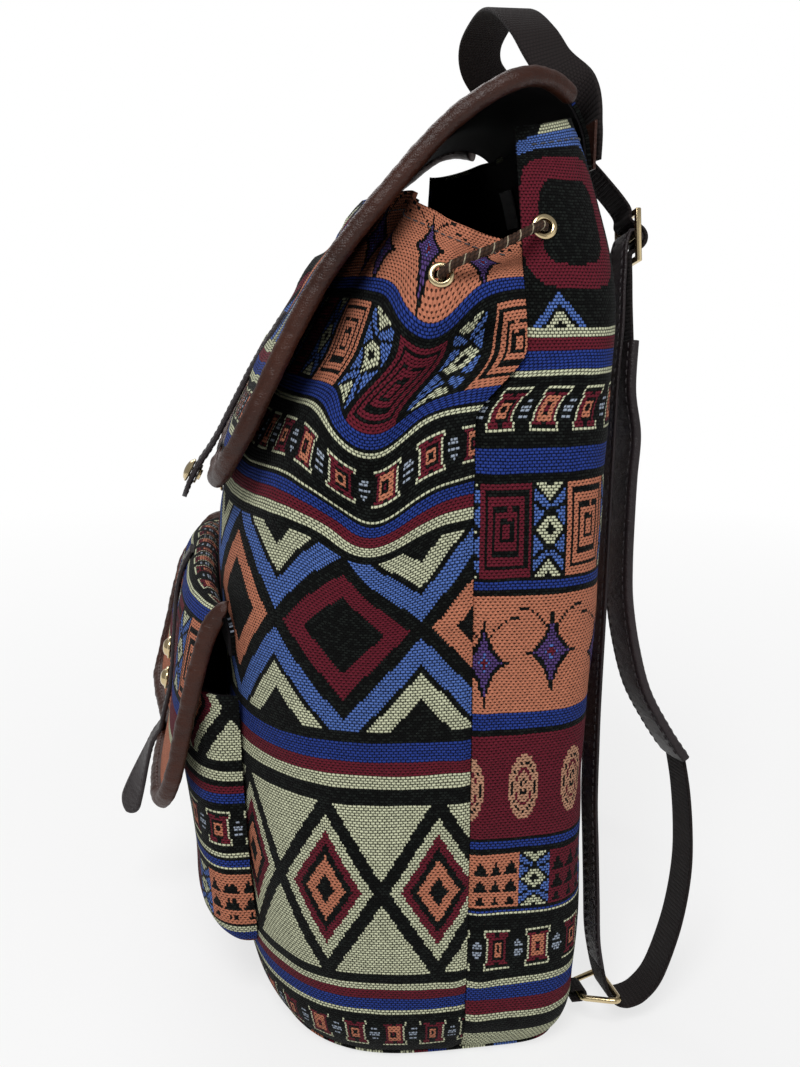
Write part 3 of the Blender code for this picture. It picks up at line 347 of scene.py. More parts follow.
def tube_faces(rows, sides, closed=False, first=0, capped=False):
    # Quads between rings of vertices, and the two ends.
    faces = []
    for j in range(rows if closed else rows - 1):
        a = first + j * sides
        b = first + (j + 1) % rows * sides
        for i in range(sides):
            i2 = (i + 1) % sides
            faces.append((a + i, a + i2, b + i2, b + i))
    if capped:
        last = first + (rows - 1) * sides
        faces.append(tuple(first + i for i in reversed(range(sides))))
        faces.append(tuple(last + i for i in range(sides)))
    return faces


def tube_uvs(around, along):
    # The corners of those quads, unrolled flat.
    uvs = []
    for v0, v1 in zip(along[:-1], along[1:]):
        for u0, u1 in zip(around[:-1], around[1:]):
            uvs += [(u0, v0), (u1, v0), (u1, v1), (u0, v1)]
    return uvs


def sweep(name, centres, sides, ups, profile, mat, slot, node=None, closed=False, body="bag", sharp=40,
          scale=None):
    # One section carried along a line of centres, closed to a ring or capped at both ends.
    centres = np.asarray(centres, float)
    k = len(profile)
    n = len(centres)
    prof = np.asarray(profile, float)
    around = run_of(np.vstack([prof, prof[:1]]))
    along = run_of(np.vstack([centres, centres[:1]]))
    verts = []
    for j in range(n):
        f = 1.0 if scale is None else scale[j]
        for px, py in prof:
            verts.append(centres[j] + np.asarray(sides[j]) * px * f + np.asarray(ups[j]) * py * f)
    faces = tube_faces(n, k, closed, capped=not closed)
    uvs = tube_uvs(around, along if closed else along[:n])
    if not closed:
        uvs += [(u, along[0]) for u in around[:k][::-1]]
        uvs += [(u, along[n - 1]) for u in around[:k]]
    return finish_mesh(name, verts, faces, uvs, mat, node, sharp, body)


def tube_frame(points, closed=False):
    # Sides and ups that turn as little as they can along a line.
    pts = np.asarray(points, float)
    t = tangents(pts, closed)
    ref = np.array([0.0, 0.0, 1.0])
    if abs(t[0] @ ref) > 0.9:
        ref = np.array([0.0, 1.0, 0.0])
    u = unit(ref - t[0] * (ref @ t[0]))
    ups = []
    for d in t:
        u = unit(u - d * (u @ d))
        ups.append(u)
    ups = np.array(ups)
    return pts, np.cross(t, ups), ups


def circle(radius, sides):
    return [(radius * math.cos(2 * math.pi * i / sides), radius * math.sin(2 * math.pi * i / sides))
            for i in range(sides)]


def flat_profile(width, thick, corner=0.45, steps=4, crown=0.0):
    # A flat strap section with rounded edges, and a slight crown on the upper side.
    w = width / 2
    t = thick / 2
    r = thick * corner
    pts = []
    for cx, cy, a0 in ((w - r, t - r, 0), (-w + r, t - r, 90), (-w + r, -t + r, 180), (w - r, -t + r, 270)):
        for k in range(steps + 1):
            a = math.radians(a0 + 90 * k / steps)
            pts.append((cx + r * math.cos(a), cy + r * math.sin(a)))
        if a0 == 0:
            for k in range(1, 6):
                x = (w - r) * (1 - k / 3)
                pts.append((x, t + crown * (1 - (x / w) ** 2)))
    return pts


def strip(name, points, across, width, thick, node):
    # A webbing strap with its width along one direction all the way.
    pts = np.asarray(points, float)
    across = unit(np.asarray(across, float))
    ups = [unit(np.cross(d, across)) for d in tangents(pts)]
    sweep(name, pts, [across] * len(pts), ups, flat_profile(width, thick), WEBBING, "webbing", node)


def lathe(name, profile, origin, axis, mat, node, sides=40, sharp=35):
    # A turned piece. The profile is (radius, height) along the axis.
    axis = unit(np.asarray(axis, float))
    ref = np.array([0.0, 0.0, 1.0]) if abs(axis[2]) < 0.9 else np.array([1.0, 0.0, 0.0])
    e1 = unit(np.cross(ref, axis))
    e2 = np.cross(axis, e1)
    origin = np.asarray(origin, float)
    verts = []
    rings = []
    for r, h in profile:
        if r < 1e-9:
            rings.append([len(verts)] * sides)
            verts.append(origin + axis * h)
            continue
        rings.append(range(len(verts), len(verts) + sides))
        for i in range(sides):
            ang = 2 * math.pi * i / sides
            verts.append(origin + axis * h + e1 * r * math.cos(ang) + e2 * r * math.sin(ang))
    faces = []
    count = len(rings)
    for j in range(count - 1 if profile[0][0] < 1e-9 else count):
        r0 = rings[j]
        r1 = rings[(j + 1) % count]
        for i in range(sides):
            i2 = (i + 1) % sides
            corners = tuple(dict.fromkeys((r0[i], r0[i2], r1[i2], r1[i])))
            if len(corners) >= 3:
                faces.append(corners)
    fix_normals(finish_mesh(name, verts, faces, None, mat, node, sharp))


STITCH_SHAPE = [(-0.5, 0.25), (-0.36, 0.85), (0.0, 1.0), (0.36, 0.85), (0.5, 0.25)]


def stitches(name, lines, mat, length=0.0026, gap=0.0011, radius=0.00032):
    # Short thread stitches along each line of (points, outward normals).
    verts = []
    faces = []
    for pts, nor in lines:
        pts = np.asarray(pts, float)
        nor = np.asarray(nor, float)
        run = run_of(pts)
        for c in range(int(run[-1] / (length + gap))):
            mid = (c + 0.5) * (length + gap)
            base = len(verts)
            for s, f in STITCH_SHAPE:
                at = mid + s * length
                o, p, q = sample(pts, run, [at - 1e-4, at, at + 1e-4])
                m = unit(sample(nor, run, [at])[0])
                side = unit(np.cross(unit(q - o), m))
                lift = (f - 0.55) * radius * 1.3
                for a in range(6):
                    ang = math.pi / 3 * a
                    up = lift + math.sin(ang) * radius * f
                    verts.append(p + m * up + side * math.cos(ang) * radius * f)
            faces += tube_faces(len(STITCH_SHAPE), 6, first=base, capped=True)
    finish_mesh(name, verts, faces, None, mat, None, 0)


# Material helpers

class Net:
    # A material with short ways to add and link its nodes.
    def __init__(self, name):
        self.mat = bpy.data.materials.new(name)
        self.mat.use_nodes = True
        self.tree = self.mat.node_tree
        self.tree.nodes.clear()
        self.out = self.node("OutputMaterial")
        self.bsdf = self.node("BsdfPrincipled")
        self.tree.links.new(self.bsdf.outputs[0], self.out.inputs[0])

    def node(self, kind, **settings):
        node = self.tree.nodes.new("ShaderNode" + kind)
        for name, value in settings.items():
            setattr(node, name, value)
        return node

    def put(self, socket, value):
        if isinstance(value, Val):
            value = value.sock
        if isinstance(value, bpy.types.NodeSocket):
            self.tree.links.new(value, socket)
        else:
            socket.default_value = value

    def fill(self, node, **values):
        for name, value in values.items():
            self.put(node.inputs[name], value)
        return node

    def math(self, op, *values):
        node = self.node("Math", operation=op)
        for s, v in zip(node.inputs, values):
            self.put(s, v)
        return Val(self, node.outputs[0])

    def uv(self):
        sep = self.node("SeparateXYZ")
        self.put(sep.inputs[0], self.node("UVMap", uv_map="UVMap").outputs[0])
        return Val(self, sep.outputs[0]), Val(self, sep.outputs[1])

    def position(self):
        return self.node("TexCoord").outputs["Object"]

    def vec(self, x, y, z=0.0):
        return self.fill(self.node("CombineXYZ"), X=x, Y=y, Z=z).outputs[0]

    def noise(self, vec, scale, detail=3.0, rough=0.55, stretch=None):
        if stretch:
            vec = self.fill(self.node("Mapping"), Scale=stretch, Vector=vec).outputs[0]
        node = self.node("TexNoise")
        return Val(self, self.fill(node, Vector=vec, Scale=scale, Detail=detail, Roughness=rough).outputs[0])

    def speckle(self, vec):
        return Val(self, self.fill(self.node("TexWhiteNoise", noise_dimensions="2D"), Vector=vec).outputs[0])

    def voronoi(self, vec, scale):
        node = self.node("TexVoronoi", feature="DISTANCE_TO_EDGE")
        return Val(self, self.fill(node, Vector=vec, Scale=scale).outputs[0])

    def red_blue(self, colour):
        node = self.node("SeparateColor")
        self.put(node.inputs[0], colour)
        return Val(self, node.outputs[0]), Val(self, node.outputs[2])

    def mix(self, fac, a, b, mode="MIX"):
        node = self.node("Mix", data_type="RGBA", blend_type=mode, clamp_factor=True)
        self.put(node.inputs[0], fac)
        for s, v in ((node.inputs[6], a), (node.inputs[7], b)):
            self.put(s, (*v, 1.0) if isinstance(v, tuple) else v)
        return node.outputs[2]

    def ramp(self, fac, stops, lo=0.0, hi=1.0):
        # Colours from places on along a value that runs from lo to hi.
        node = self.node("ValToRGB")
        node.color_ramp.interpolation = "CONSTANT"
        el = node.color_ramp.elements
        while len(el) > 1:
            el.remove(el[-1])
        for k, (at, col) in enumerate(stops):
            pos = min(max((at - lo) / (hi - lo), 0.0), 1.0)
            e = el[0] if k == 0 else el.new(pos)
            e.position = pos
            e.color = (*col, 1.0)
        if (lo, hi) != (0.0, 1.0):
            fac = (fac - lo) * (1.0 / (hi - lo))
        self.put(node.inputs[0], fac)
        return node.outputs[0]

    def bump(self, height, strength, distance, normal=None):
        node = self.fill(self.node("Bump"), Strength=strength, Distance=distance, Height=height)
        if normal is not None:
            self.put(node.inputs["Normal"], normal)
        return node.outputs[0]

    def finish(self, color, rough, normal, **fixed):
        self.fill(self.bsdf, Roughness=rough, Normal=normal)
        self.put(self.bsdf.inputs["Base Color"], color)
        for k, v in fixed.items():
            self.bsdf.inputs[k.replace("_", " ")].default_value = v
        return self.mat


class Val:
    # A number in a material, with the usual arithmetic.
    def __init__(self, net, sock):
        self.net = net
        self.sock = sock

    def __rsub__(self, other):
        return self.net.math("SUBTRACT", other, self)

    def fract(self):
        return self.net.math("FRACT", self)


def add_method(method, operation):
    setattr(Val, method, lambda self, *others: self.net.math(operation, self, *others))


for method, operation in (("__add__", "ADD"), ("__radd__", "ADD"), ("__sub__", "SUBTRACT"),
                          ("__mul__", "MULTIPLY"), ("__rmul__", "MULTIPLY"), ("__truediv__", "DIVIDE"),
                          ("__pow__", "POWER"),
                          ("__lt__", "LESS_THAN"), ("__gt__", "GREATER_THAN"), ("__abs__", "ABSOLUTE"),
                          ("floor", "FLOOR"), ("sqrt", "SQRT"), ("near", "COMPARE"), ("mn", "MINIMUM"),
                          ("mx", "MAXIMUM")):
    add_method(method, operation)


def srgb(text):
    vals = [int(text[i:i + 2], 16) / 255 for i in (0, 2, 4)]
    return tuple(v / 12.92 if v <= 0.04045 else ((v + 0.055) / 1.055) ** 2.4 for v in vals)


BLACK = srgb("090b0a")
ROYAL = srgb("2a4192")
SKY = srgb("5878c2")
MAROON = srgb("661d2b")
CREAM = srgb("d9dcba")
SALMON = srgb("bd775c")
PURPLE = srgb("5c4580")
TAN = srgb("b88a70")

# Length of one dash of yarn, height of one row
DASH = 0.0020
ROW = 0.00125

# Widths of the motifs along the cloth
DIAMOND_PITCH = 0.060
LATTICE_PITCH = 0.049
SQUARE_PITCH = 0.0184
BLOCK_PITCH = 0.0750
STAR_PITCH = 0.0295
OVAL_PITCH = 0.0235
FRAME_PITCH = 0.082


# Woven motifs. u: metres along the cloth, y: metres above the motif's middle, phase: where one starts.

def zigzag(t):
    # 0 where a motif starts, 1 in its middle
    return abs(t.fract() - 0.5) * -2.0 + 1.0


def every_second(t):
    return (t * 0.5).fract() > 0.5


def from_middle(t, pitch):
    # The distance from the nearest motif's middle
    return abs(t.fract() - 0.5) * pitch


def big_diamond(w, u, y, phase=0.0, pitch=DIAMOND_PITCH, tall=0.0365):
    # Maroon and salmon diamonds in a blue trellis, with cream chevrons.
    t = (u - phase) / pitch
    f = zigzag(t) - abs(y) / tall
    rings = [(-2.0, BLACK), (-0.84, CREAM), (-0.53, BLACK), (-0.43, SKY), (-0.11, BLACK)]
    one, two = [w.ramp(f, rings + [(0.14, colour), (0.46, BLACK)], -2.0, 1.0) for colour in (MAROON, SALMON)]
    return w.mix((y > 0.0402).mx(y < -0.0468), w.mix(every_second(t), one, two), BLACK)


def framed_block(w, u, y, middle, half, tall, pitch=FRAME_PITCH):
    # Black blocks in wide maroon frames, a blue bar and a cream tip above, a chevron low beside each.
    off = from_middle((u - middle) / pitch + 0.5, pitch)
    f = ((off / half) ** 3.6 + (abs(y) / tall) ** 3.6) ** (1.0 / 3.6)
    c = w.ramp(f, [(0.0, BLACK), (0.62, MAROON), (0.96, BLACK), (1.16, SKY), (1.44, BLACK)], 0.0, 4.0)
    c = w.mix((y < tall * 0.7) * (f > 0.96), c, BLACK)
    c = w.mix((y > 0.0385) * (off + y < 0.0535), c, CREAM)
    beside = from_middle((u - middle + 0.0110) / pitch + 0.5, pitch)
    d = (beside + y) * -1.0 - 0.0262
    bands = [(0.0, BLACK), (0.0010, SKY), (0.0056, BLACK), (0.0078, CREAM), (0.0118, BLACK)]
    return w.mix(d > 0.0, c, w.ramp(d, bands, 0.0, 0.04))


def lattice(w, u, y, phase=0.0, pitch=LATTICE_PITCH, tall=0.0405):
    # Ringed diamonds in black lines on a cream ground.
    f = zigzag((u - phase) / pitch) - abs(y) / tall
    return w.ramp(f, [(-2.0, CREAM), (-0.135, BLACK), (0.135, CREAM), (0.343, MAROON), (0.486, BLACK),
                      (0.62, SALMON), (0.816, BLACK)], -2.0, 1.0)


def squares(w, u, y, phase=0.0, pitch=SQUARE_PITCH, tall=0.0078):
    # Small blocks in a pale outline with a drawn-in waist, and striped ovals between them.
    t = (u - phase) / pitch
    x = from_middle(t, pitch)
    ay = abs(y)
    m = (x / ((ay > tall * 0.60) * 0.0011 + 0.0050)).mx(ay / tall)
    dark = [(0.0, BLACK), (0.16, SALMON), (0.36, BLACK), (0.50, MAROON), (0.80, BLACK)]
    light = [(0.0, MAROON), (0.14, BLACK), (0.26, SALMON), (0.58, MAROON), (0.76, BLACK)]
    c, d = [w.ramp(m, stops + [(0.86, CREAM), (1.0, BLACK)], 0.0, 2.0) for stops in (dark, light)]
    c = w.mix(every_second(t), c, d)
    c = w.mix((x < 0.0011) * (m > 0.60) * (m < 0.86), c, BLACK)
    ox = abs(x - pitch * 0.5) / 0.0022
    oy = y / 0.0044
    oval = (ox * ox + oy * oy) < 1.0
    lines = (y * 480.0).fract() > 0.30
    return w.mix(oval * lines, c, w.mix(0.45, SKY, CREAM))


def cross_column(w, x, y, half, tall):
    # Sky ground with black edges, a cream diamond in the middle and cream points above and below.
    ay = abs(y)
    ax = abs(x)
    middle = ax / (half * 0.72) + ay / (tall * 0.36)
    c = w.ramp(middle, [(0.0, BLACK), (0.36, CREAM), (1.0, BLACK), (1.32, SKY)], 0.0, 3.0)
    e = ax / (half * 0.95) + (tall - ay) / (tall * 0.42)
    for reach, colour in ((1.25, BLACK), (1.0, CREAM), (0.42, BLACK)):
        c = w.mix(e < reach, c, colour)
    g = abs(ax / half - (ay - tall * 0.30) / (tall * 0.30))
    c = w.mix((g < 0.16) * (ay > tall * 0.28), c, BLACK)
    return w.mix((ax / half).mx(ay / tall) > 0.93, c, BLACK)


BLOCK_HALF = 0.0110
COLUMN_HALF = 0.0078


def key_block(w, x, y, tall, colour):
    m = (abs(x) / BLOCK_HALF).mx(abs(y) / tall)
    c = w.ramp(m, [(0.0, colour), (0.14, BLACK), (0.24, colour), (0.40, BLACK), (0.50, colour), (0.68, BLACK),
                   (0.78, colour), (0.95, BLACK)], 0.0, 1.2)
    gap = (abs(x - BLOCK_HALF * 0.1) < BLOCK_HALF * 0.07) * (y > 0.0) * (m > 0.2) * (m < 0.66)
    return w.mix(gap, c, colour)


def blocks(w, u, y, phase, tall, triangles=False, pitch=BLOCK_PITCH):
    # Salmon block, crossed column, maroon block, crossed column, over and over.
    t = ((u - phase) / pitch).fract() * pitch
    off = abs(t - pitch * 0.5)
    cross = cross_column(w, off - pitch * 0.25, y, COLUMN_HALF, tall)
    if triangles:
        xs = (t + BLOCK_HALF) / 0.0073
        ys = (y + tall) / (tall * 0.62)
        tri = (abs(xs.fract() - 0.5) * 2.0 + ys.fract() * 1.1) < 0.86
        one, two = [w.mix(tri * (abs(y) < tall * 0.82), colour, BLACK) for colour in (SALMON, MAROON)]
    else:
        left, right = [key_block(w, x, y, tall, SALMON) for x in (t, t - pitch)]
        one = w.mix(t > pitch * 0.5, left, right)
        two = key_block(w, t - pitch * 0.5, y, tall, MAROON)
    c = w.mix(off < BLOCK_HALF, cross, two)
    c = w.mix(off > pitch * 0.5 - BLOCK_HALF, c, one)
    return w.mix(abs(y) > tall * 0.97, c, BLACK)


def stars(w, u, y, phase, pitch=STAR_PITCH, half=0.0100, tall=0.0182):
    # Purple stars, every second one a little higher, under thin dark arcs.
    t = (u - phase) / pitch
    x = from_middle(t, pitch)
    odd = every_second(t) * 0.004 - 0.002
    up = abs(y - odd) / tall
    m = (x / half) ** 0.62 + up ** 0.62
    c = w.ramp(m, [(0.0, MAROON), (0.34, SKY), (0.46, PURPLE), (0.88, BLACK), (1.06, SALMON)], 0.0, 3.0)
    away = (x - pitch * 0.5) / (pitch * 0.5)
    arc = away * away + up * up
    return w.mix(arc.near(1.0, 0.045) * (m > 1.0) * (y > odd), c, BLACK)


def ovals(w, u, y, phase, pitch=OVAL_PITCH):
    # Tan ovals of dotted rings on maroon.
    x = (((u - phase) / pitch).fract() - 0.5) * (pitch / 0.0066)
    v = y / 0.0150
    rings = [(0.0, TAN), (0.16, BLACK), (0.26, TAN), (0.48, MAROON), (0.58, TAN), (0.72, BLACK), (0.78, TAN),
             (1.0, MAROON)]
    return w.ramp((x * x + v * v).sqrt(), rings, 0.0, 3.0)


def woven(name, stripes, motifs):
    # stripes: (height, colour) from the bottom up; motifs: (low, high, function that draws one).
    w = Net(name)
    u, v = w.uv()
    wob = (w.noise(w.vec(u, v), 30.0, 2.0) - 0.5) * 0.0022
    v0 = v + wob
    row = (v0 / ROW).floor()
    shift = (row * 0.5).fract()
    dashes = u / DASH + shift
    vq = (row + 0.5) * ROW
    uq = ((u / (DASH * 0.5)).floor() + 0.5) * (DASH * 0.5)
    colour = w.ramp(vq, stripes, stripes[0][0] - 0.001, stripes[-1][0] + 0.05)
    for low, high, draw in motifs:
        middle = (low + high) / 2
        colour = w.mix(vq.near(middle, (high - low) / 2), colour, draw(w, uq, vq - middle))
    # blue, cream and black: long dashes, dark dots between their ends, a thin line between rows,
    # and every second gap between rows deeper and dotted
    edge_v = abs((v0 / ROW).fract() - 0.5) * 2.0
    edge_u = abs(dashes.fract() - 0.5) * 2.0
    dash = (1.0 - edge_v ** 2.4) * (1.0 - edge_u ** 4.0)
    dot = ((edge_u - 0.70) * 3.6).mx(0.0).mn(1.0)
    pair = abs((v0 / (ROW * 2.0)).fract() - 0.5) > 0.39
    gap = pair * ((u / (DASH * 0.5) + shift).fract() > 0.42)
    lines = dash * 0.88 + 0.06 - dot * 0.24 - gap * 0.26
    # salmon and maroon: staggered dark dots between the rows instead
    red, blue = w.red_blue(colour)
    dotted = ((red - blue * 1.5) * 8.0).mx(0.0).mn(1.0)
    between = v0 / ROW + 0.5
    along = abs((u / DASH + (between.floor() * 0.5).fract()).fract() - 0.5) * 2.0
    across = abs(between.fract() - 0.5) * 2.0
    spot = ((1.0 - (along / 0.64) ** 2.0 - (across / 0.56) ** 2.0) * 2.4).mx(0.0).mn(1.0)
    shade = lines + (0.96 - spot * 0.82 - lines) * dotted
    # paler fibres speckle the black
    rnd = w.speckle(w.vec(dashes.floor(), row))
    colour = w.mix((red + blue < 0.02) * (rnd > 0.55) * dash * 0.55, colour, srgb("212623"))
    fuzz = w.noise(w.vec(u, v), 900.0, 2.0)
    strand = w.noise(w.vec(u * 0.25, v), 2600.0, 1.0)
    shade = shade + (rnd - 0.5) * 0.16 + (fuzz - 0.5) * 0.24 + (strand - 0.5) * 0.20
    worn = w.noise(w.vec(u, v), 18.0, 3.0)
    shade = (shade * (worn * 0.30 + 0.86)).mx(0.03)
    final = w.mix(1.0, colour, w.vec(shade, shade, shade), "MULTIPLY")
    normal = w.bump(dash - dot * 0.4 + fuzz * 0.3, 0.6, 0.0006)
    return w.finish(final, 0.88 - dash * 0.12, normal, Sheen_Weight=0.02, Sheen_Roughness=0.5,
                    Specular_IOR_Level=0.09)


# Materials

HALF_FRONT = body_length(0.20, True) / 2
HALF_BACK = body_length(0.20, False) / 2


def motif(draw, phase=0.0, pitch=None, half=None, shift=0.0, **more):
    # One band's motif. With half, the pitch nearest to the wanted one that puts the middle of the panel,
    # half its length from the seam, on a motif's line of symmetry.
    if half:
        more["pitch"] = 2 * (half - phase) / max(round(2 * (half - phase) / pitch), 1)
    return lambda w, u, y: draw(w, u, y + shift if shift else y, phase, **more)


def wing_blocks(w, u, y):
    # The blocks repeat from both side seams towards the middle of the back.
    return framed_block(w, HALF_BACK - abs(u - HALF_BACK), y + 0.0018, 0.0270, 0.0285, 0.0270)


FRONT_CLOTH = woven("woven_front", [
    (0.0, BLACK), (0.0283, CREAM), (0.0315, ROYAL), (0.0373, MAROON), (0.0418, CREAM), (0.0457, BLACK),
    (0.1395, CREAM), (0.1450, MAROON), (0.1520, ROYAL), (0.1610, BLACK), (0.2555, CREAM), (0.2600, MAROON),
    (0.2640, BLACK), (0.2648, ROYAL), (0.2690, BLACK), (0.2698, CREAM), (0.2722, BLACK), (0.2970, CREAM),
    (0.2992, BLACK), (0.3000, ROYAL), (0.3065, BLACK), (0.3078, SALMON), (0.3410, BLACK), (0.3425, ROYAL),
    (0.3480, BLACK), (0.3495, SALMON)], [
    (0.0060, 0.0282, motif(squares, 0.0060, SQUARE_PITCH, HALF_FRONT, tall=0.0085)),
    (0.0515, 0.1325, motif(lattice, -0.0112, LATTICE_PITCH, HALF_FRONT)),
    (0.1660, 0.2548, motif(big_diamond, 0.0216, DIAMOND_PITCH, HALF_FRONT, -0.0012)),
    (0.2735, 0.2965, motif(squares, 0.0096, SQUARE_PITCH, HALF_FRONT)),
    (0.3070, 0.3415, motif(blocks, 0.0875, BLOCK_PITCH, HALF_FRONT, tall=0.0172)),
    (0.3490, 0.4200, motif(stars, 0.0060, STAR_PITCH, HALF_FRONT, 0.0215)),
])
BACK_CLOTH = woven("woven_back", [
    (0.0, CREAM), (0.0120, BLACK), (0.0220, CREAM), (0.0262, MAROON), (0.0330, ROYAL), (0.0400, CREAM),
    (0.0440, BLACK), (0.0760, CREAM), (0.0780, ROYAL), (0.0800, BLACK), (0.1090, ROYAL), (0.1135, BLACK),
    (0.1150, MAROON), (0.1620, BLACK), (0.1635, ROYAL), (0.1715, BLACK), (0.1725, SALMON), (0.2220, BLACK),
    (0.2235, ROYAL), (0.2290, BLACK), (0.2705, ROYAL), (0.2820, BLACK), (0.2832, CREAM), (0.2856, BLACK),
    (0.3095, CREAM), (0.3120, ROYAL), (0.3180, MAROON), (0.3240, CREAM), (0.3275, BLACK), (0.4150, BLACK)], [
    (0.0450, 0.0755, motif(squares, 0.0040, SQUARE_PITCH, HALF_BACK, tall=0.0100)),
    (0.0805, 0.1085, motif(blocks, 0.0110, BLOCK_PITCH, HALF_BACK, tall=0.0140, triangles=True)),
    (0.1150, 0.1620, motif(ovals, 0.0105, OVAL_PITCH, HALF_BACK)),
    (0.1722, 0.2222, motif(stars, -0.0100, STAR_PITCH, HALF_BACK, 0.001, tall=0.0190)),
    (0.2285, 0.2705, motif(blocks, 0.0485, BLOCK_PITCH, HALF_BACK, tall=0.0208)),
    (0.2850, 0.3095, motif(squares, 0.0010, SQUARE_PITCH, HALF_BACK, tall=0.0086)),
    (0.3285, 0.4150, wing_blocks),
])
FLAP_CLOTH = woven("woven_flap", [
    (0.0, BLACK), (0.010, ROYAL), (0.016, CREAM), (0.019, BLACK), (0.041, CREAM), (0.044, ROYAL),
    (0.050, MAROON), (0.056, CREAM), (0.060, BLACK), (0.150, ROYAL), (0.157, MAROON), (0.163, CREAM),
    (0.168, BLACK), (0.2362, ROYAL), (0.2430, BLACK)], [
    (0.0195, 0.0405, motif(squares)),
    (0.0610, 0.1495, motif(big_diamond)),
    (0.1690, 0.2350, motif(lattice, shift=-0.0125)),
])
POCKET_CLOTH = woven("woven_pocket", [
    (0.0, CREAM), (0.0345, BLACK), (0.0360, MAROON), (0.0400, ROYAL), (0.0460, CREAM), (0.0490, BLACK),
    (0.0790, CREAM), (0.0812, ROYAL), (0.0850, BLACK), (0.0865, CREAM), (0.0890, BLACK), (0.1135, ROYAL),
    (0.1180, MAROON), (0.1225, BLACK), (0.1245, CREAM), (0.1300, BLACK), (0.1345, CREAM)], [
    (0.0500, 0.0785, motif(blocks, 0.0110, tall=0.0135, triangles=True)),
    (0.0890, 0.1130, motif(squares, 0.0040, tall=0.0088)),
    (0.1345, 0.2000, motif(lattice, 0.0040, shift=0.006)),
])
POCKET_FLAP_CLOTH = woven("woven_pocket_flap", [
    (0.0, BLACK), (0.026, CREAM), (0.0285, ROYAL), (0.0345, BLACK), (0.076, ROYAL), (0.082, MAROON),
    (0.094, CREAM), (0.098, SALMON)], [
    (0.0040, 0.0255, motif(squares, 0.0030)),
    (0.0350, 0.0760, motif(blocks, 0.0120, tall=0.0198)),
])


def rounded(value, power):
    # 0 at a thread's edges, 1 on its middle. value counts threads.
    return 1.0 - (abs(value.fract() - 0.5) * 2.0) ** power


def lining_cloth():
    w = Net("black_lining")
    u, v = w.uv()
    weave = rounded(u / 0.0007, 3.0) * rounded(v / 0.0007, 3.0)
    broad = w.noise(w.vec(u, v), 22.0, 3.0)
    c = w.mix(weave * 0.6 + broad * 0.3, srgb("0a090a"), srgb("1d1a1d"))
    n = w.bump(weave + broad * 1.5, 0.35, 0.0005)
    return w.finish(c, 0.80, n, Sheen_Weight=0.02, Specular_IOR_Level=0.09)


def coated(name, dark, light, rough):
    # Soft coated cloth with a fine pebbled grain, long creases with painted shade in their hollows, and paler
    # worn spots.
    w = Net(name)
    p = w.position()
    cell = w.voronoi(p, 900.0)
    fine = w.noise(p, 1440.0, 3.0)
    broad = w.noise(p, 24.0, 4.0)
    folds = w.noise(p, 70.0, 3.0, 0.6, stretch=(1.0, 1.0, 2.6))
    # Painted shade: the folds term darkens the colour in the creases' hollows and lightens it on their
    # ridges.
    tone_and_crease_shade = broad * 0.8 + (fine - 0.5) * 0.35 + (folds - 0.5) * 0.5 + 0.1
    n = w.bump(folds, 0.55, 0.0022)
    n = w.bump(cell.mn(0.35) * 1.2 + fine * 0.25, 0.45, 0.0005, n)
    r = rough + (broad - 0.5) * 0.16 + (fine - 0.5) * 0.10
    return w.finish(w.mix(tone_and_crease_shade, dark, light), r, n, Specular_IOR_Level=0.32)


def webbing_cloth():
    # Ribs along the strap, each of short staggered stitches.
    w = Net("ribbed_webbing")
    u, v = w.uv()
    h = rounded(v / 0.0019, 2.5) * rounded(u / 0.0016 + (v / 0.0019).floor() * 0.5, 4.0)
    fuzz = w.noise(w.vec(u, v), 1400.0, 2.0)
    broad = w.noise(w.vec(u, v), 30.0, 3.0)
    c = w.mix(h * 0.55 + fuzz * 0.25 + broad * 0.2, srgb("090707"), srgb("241c1c"))
    return w.finish(c, 0.72, w.bump(h + fuzz * 0.2, 0.6, 0.0005), Sheen_Weight=0.03, Specular_IOR_Level=0.18)


def cord_thread(name, dark, light):
    w = Net(name)
    u, v = w.uv()
    h = rounded(v / 0.0011 + u / 0.0022, 2.0)
    fuzz = w.noise(w.position(), 1500.0, 2.0)
    c = w.mix(h * 0.7 + fuzz * 0.3, dark, light)
    return w.finish(c, 0.66, w.bump(h, 0.5, 0.0002), Sheen_Weight=0.03, Specular_IOR_Level=0.2)


def gold():
    w = Net("pale_gold")
    p = w.position()
    broad = w.noise(p, 60.0, 4.0)
    fine = w.noise(p, 1800.0, 2.0, stretch=(1.0, 1.0, 0.2))
    c = w.mix(broad, srgb("b99f72"), srgb("e6d6ae"))
    r = 0.20 + (broad - 0.5) * 0.14 + (fine - 0.5) * 0.08
    return w.finish(c, r, w.bump(fine, 0.04, 0.0002), Metallic=1.0)


def sewing_thread(name, dark, light):
    w = Net(name)
    fuzz = w.noise(w.position(), 2600.0, 2.0)
    return w.finish(w.mix(fuzz, dark, light), 0.6, w.bump(fuzz, 0.3, 0.0002), Sheen_Weight=0.2)


def label_cloth():
    w = Net("blank_label")
    u, v = w.uv()
    h = rounded(u / 0.0005, 2.0) * rounded(v / 0.0005, 2.0)
    fuzz = w.noise(w.vec(u, v), 60.0, 3.0)
    c = w.mix(h * 0.5 + fuzz * 0.5, srgb("77787a"), srgb("a3a4a6"))
    return w.finish(c, 0.7, w.bump(h, 0.4, 0.0003), Sheen_Weight=0.1)


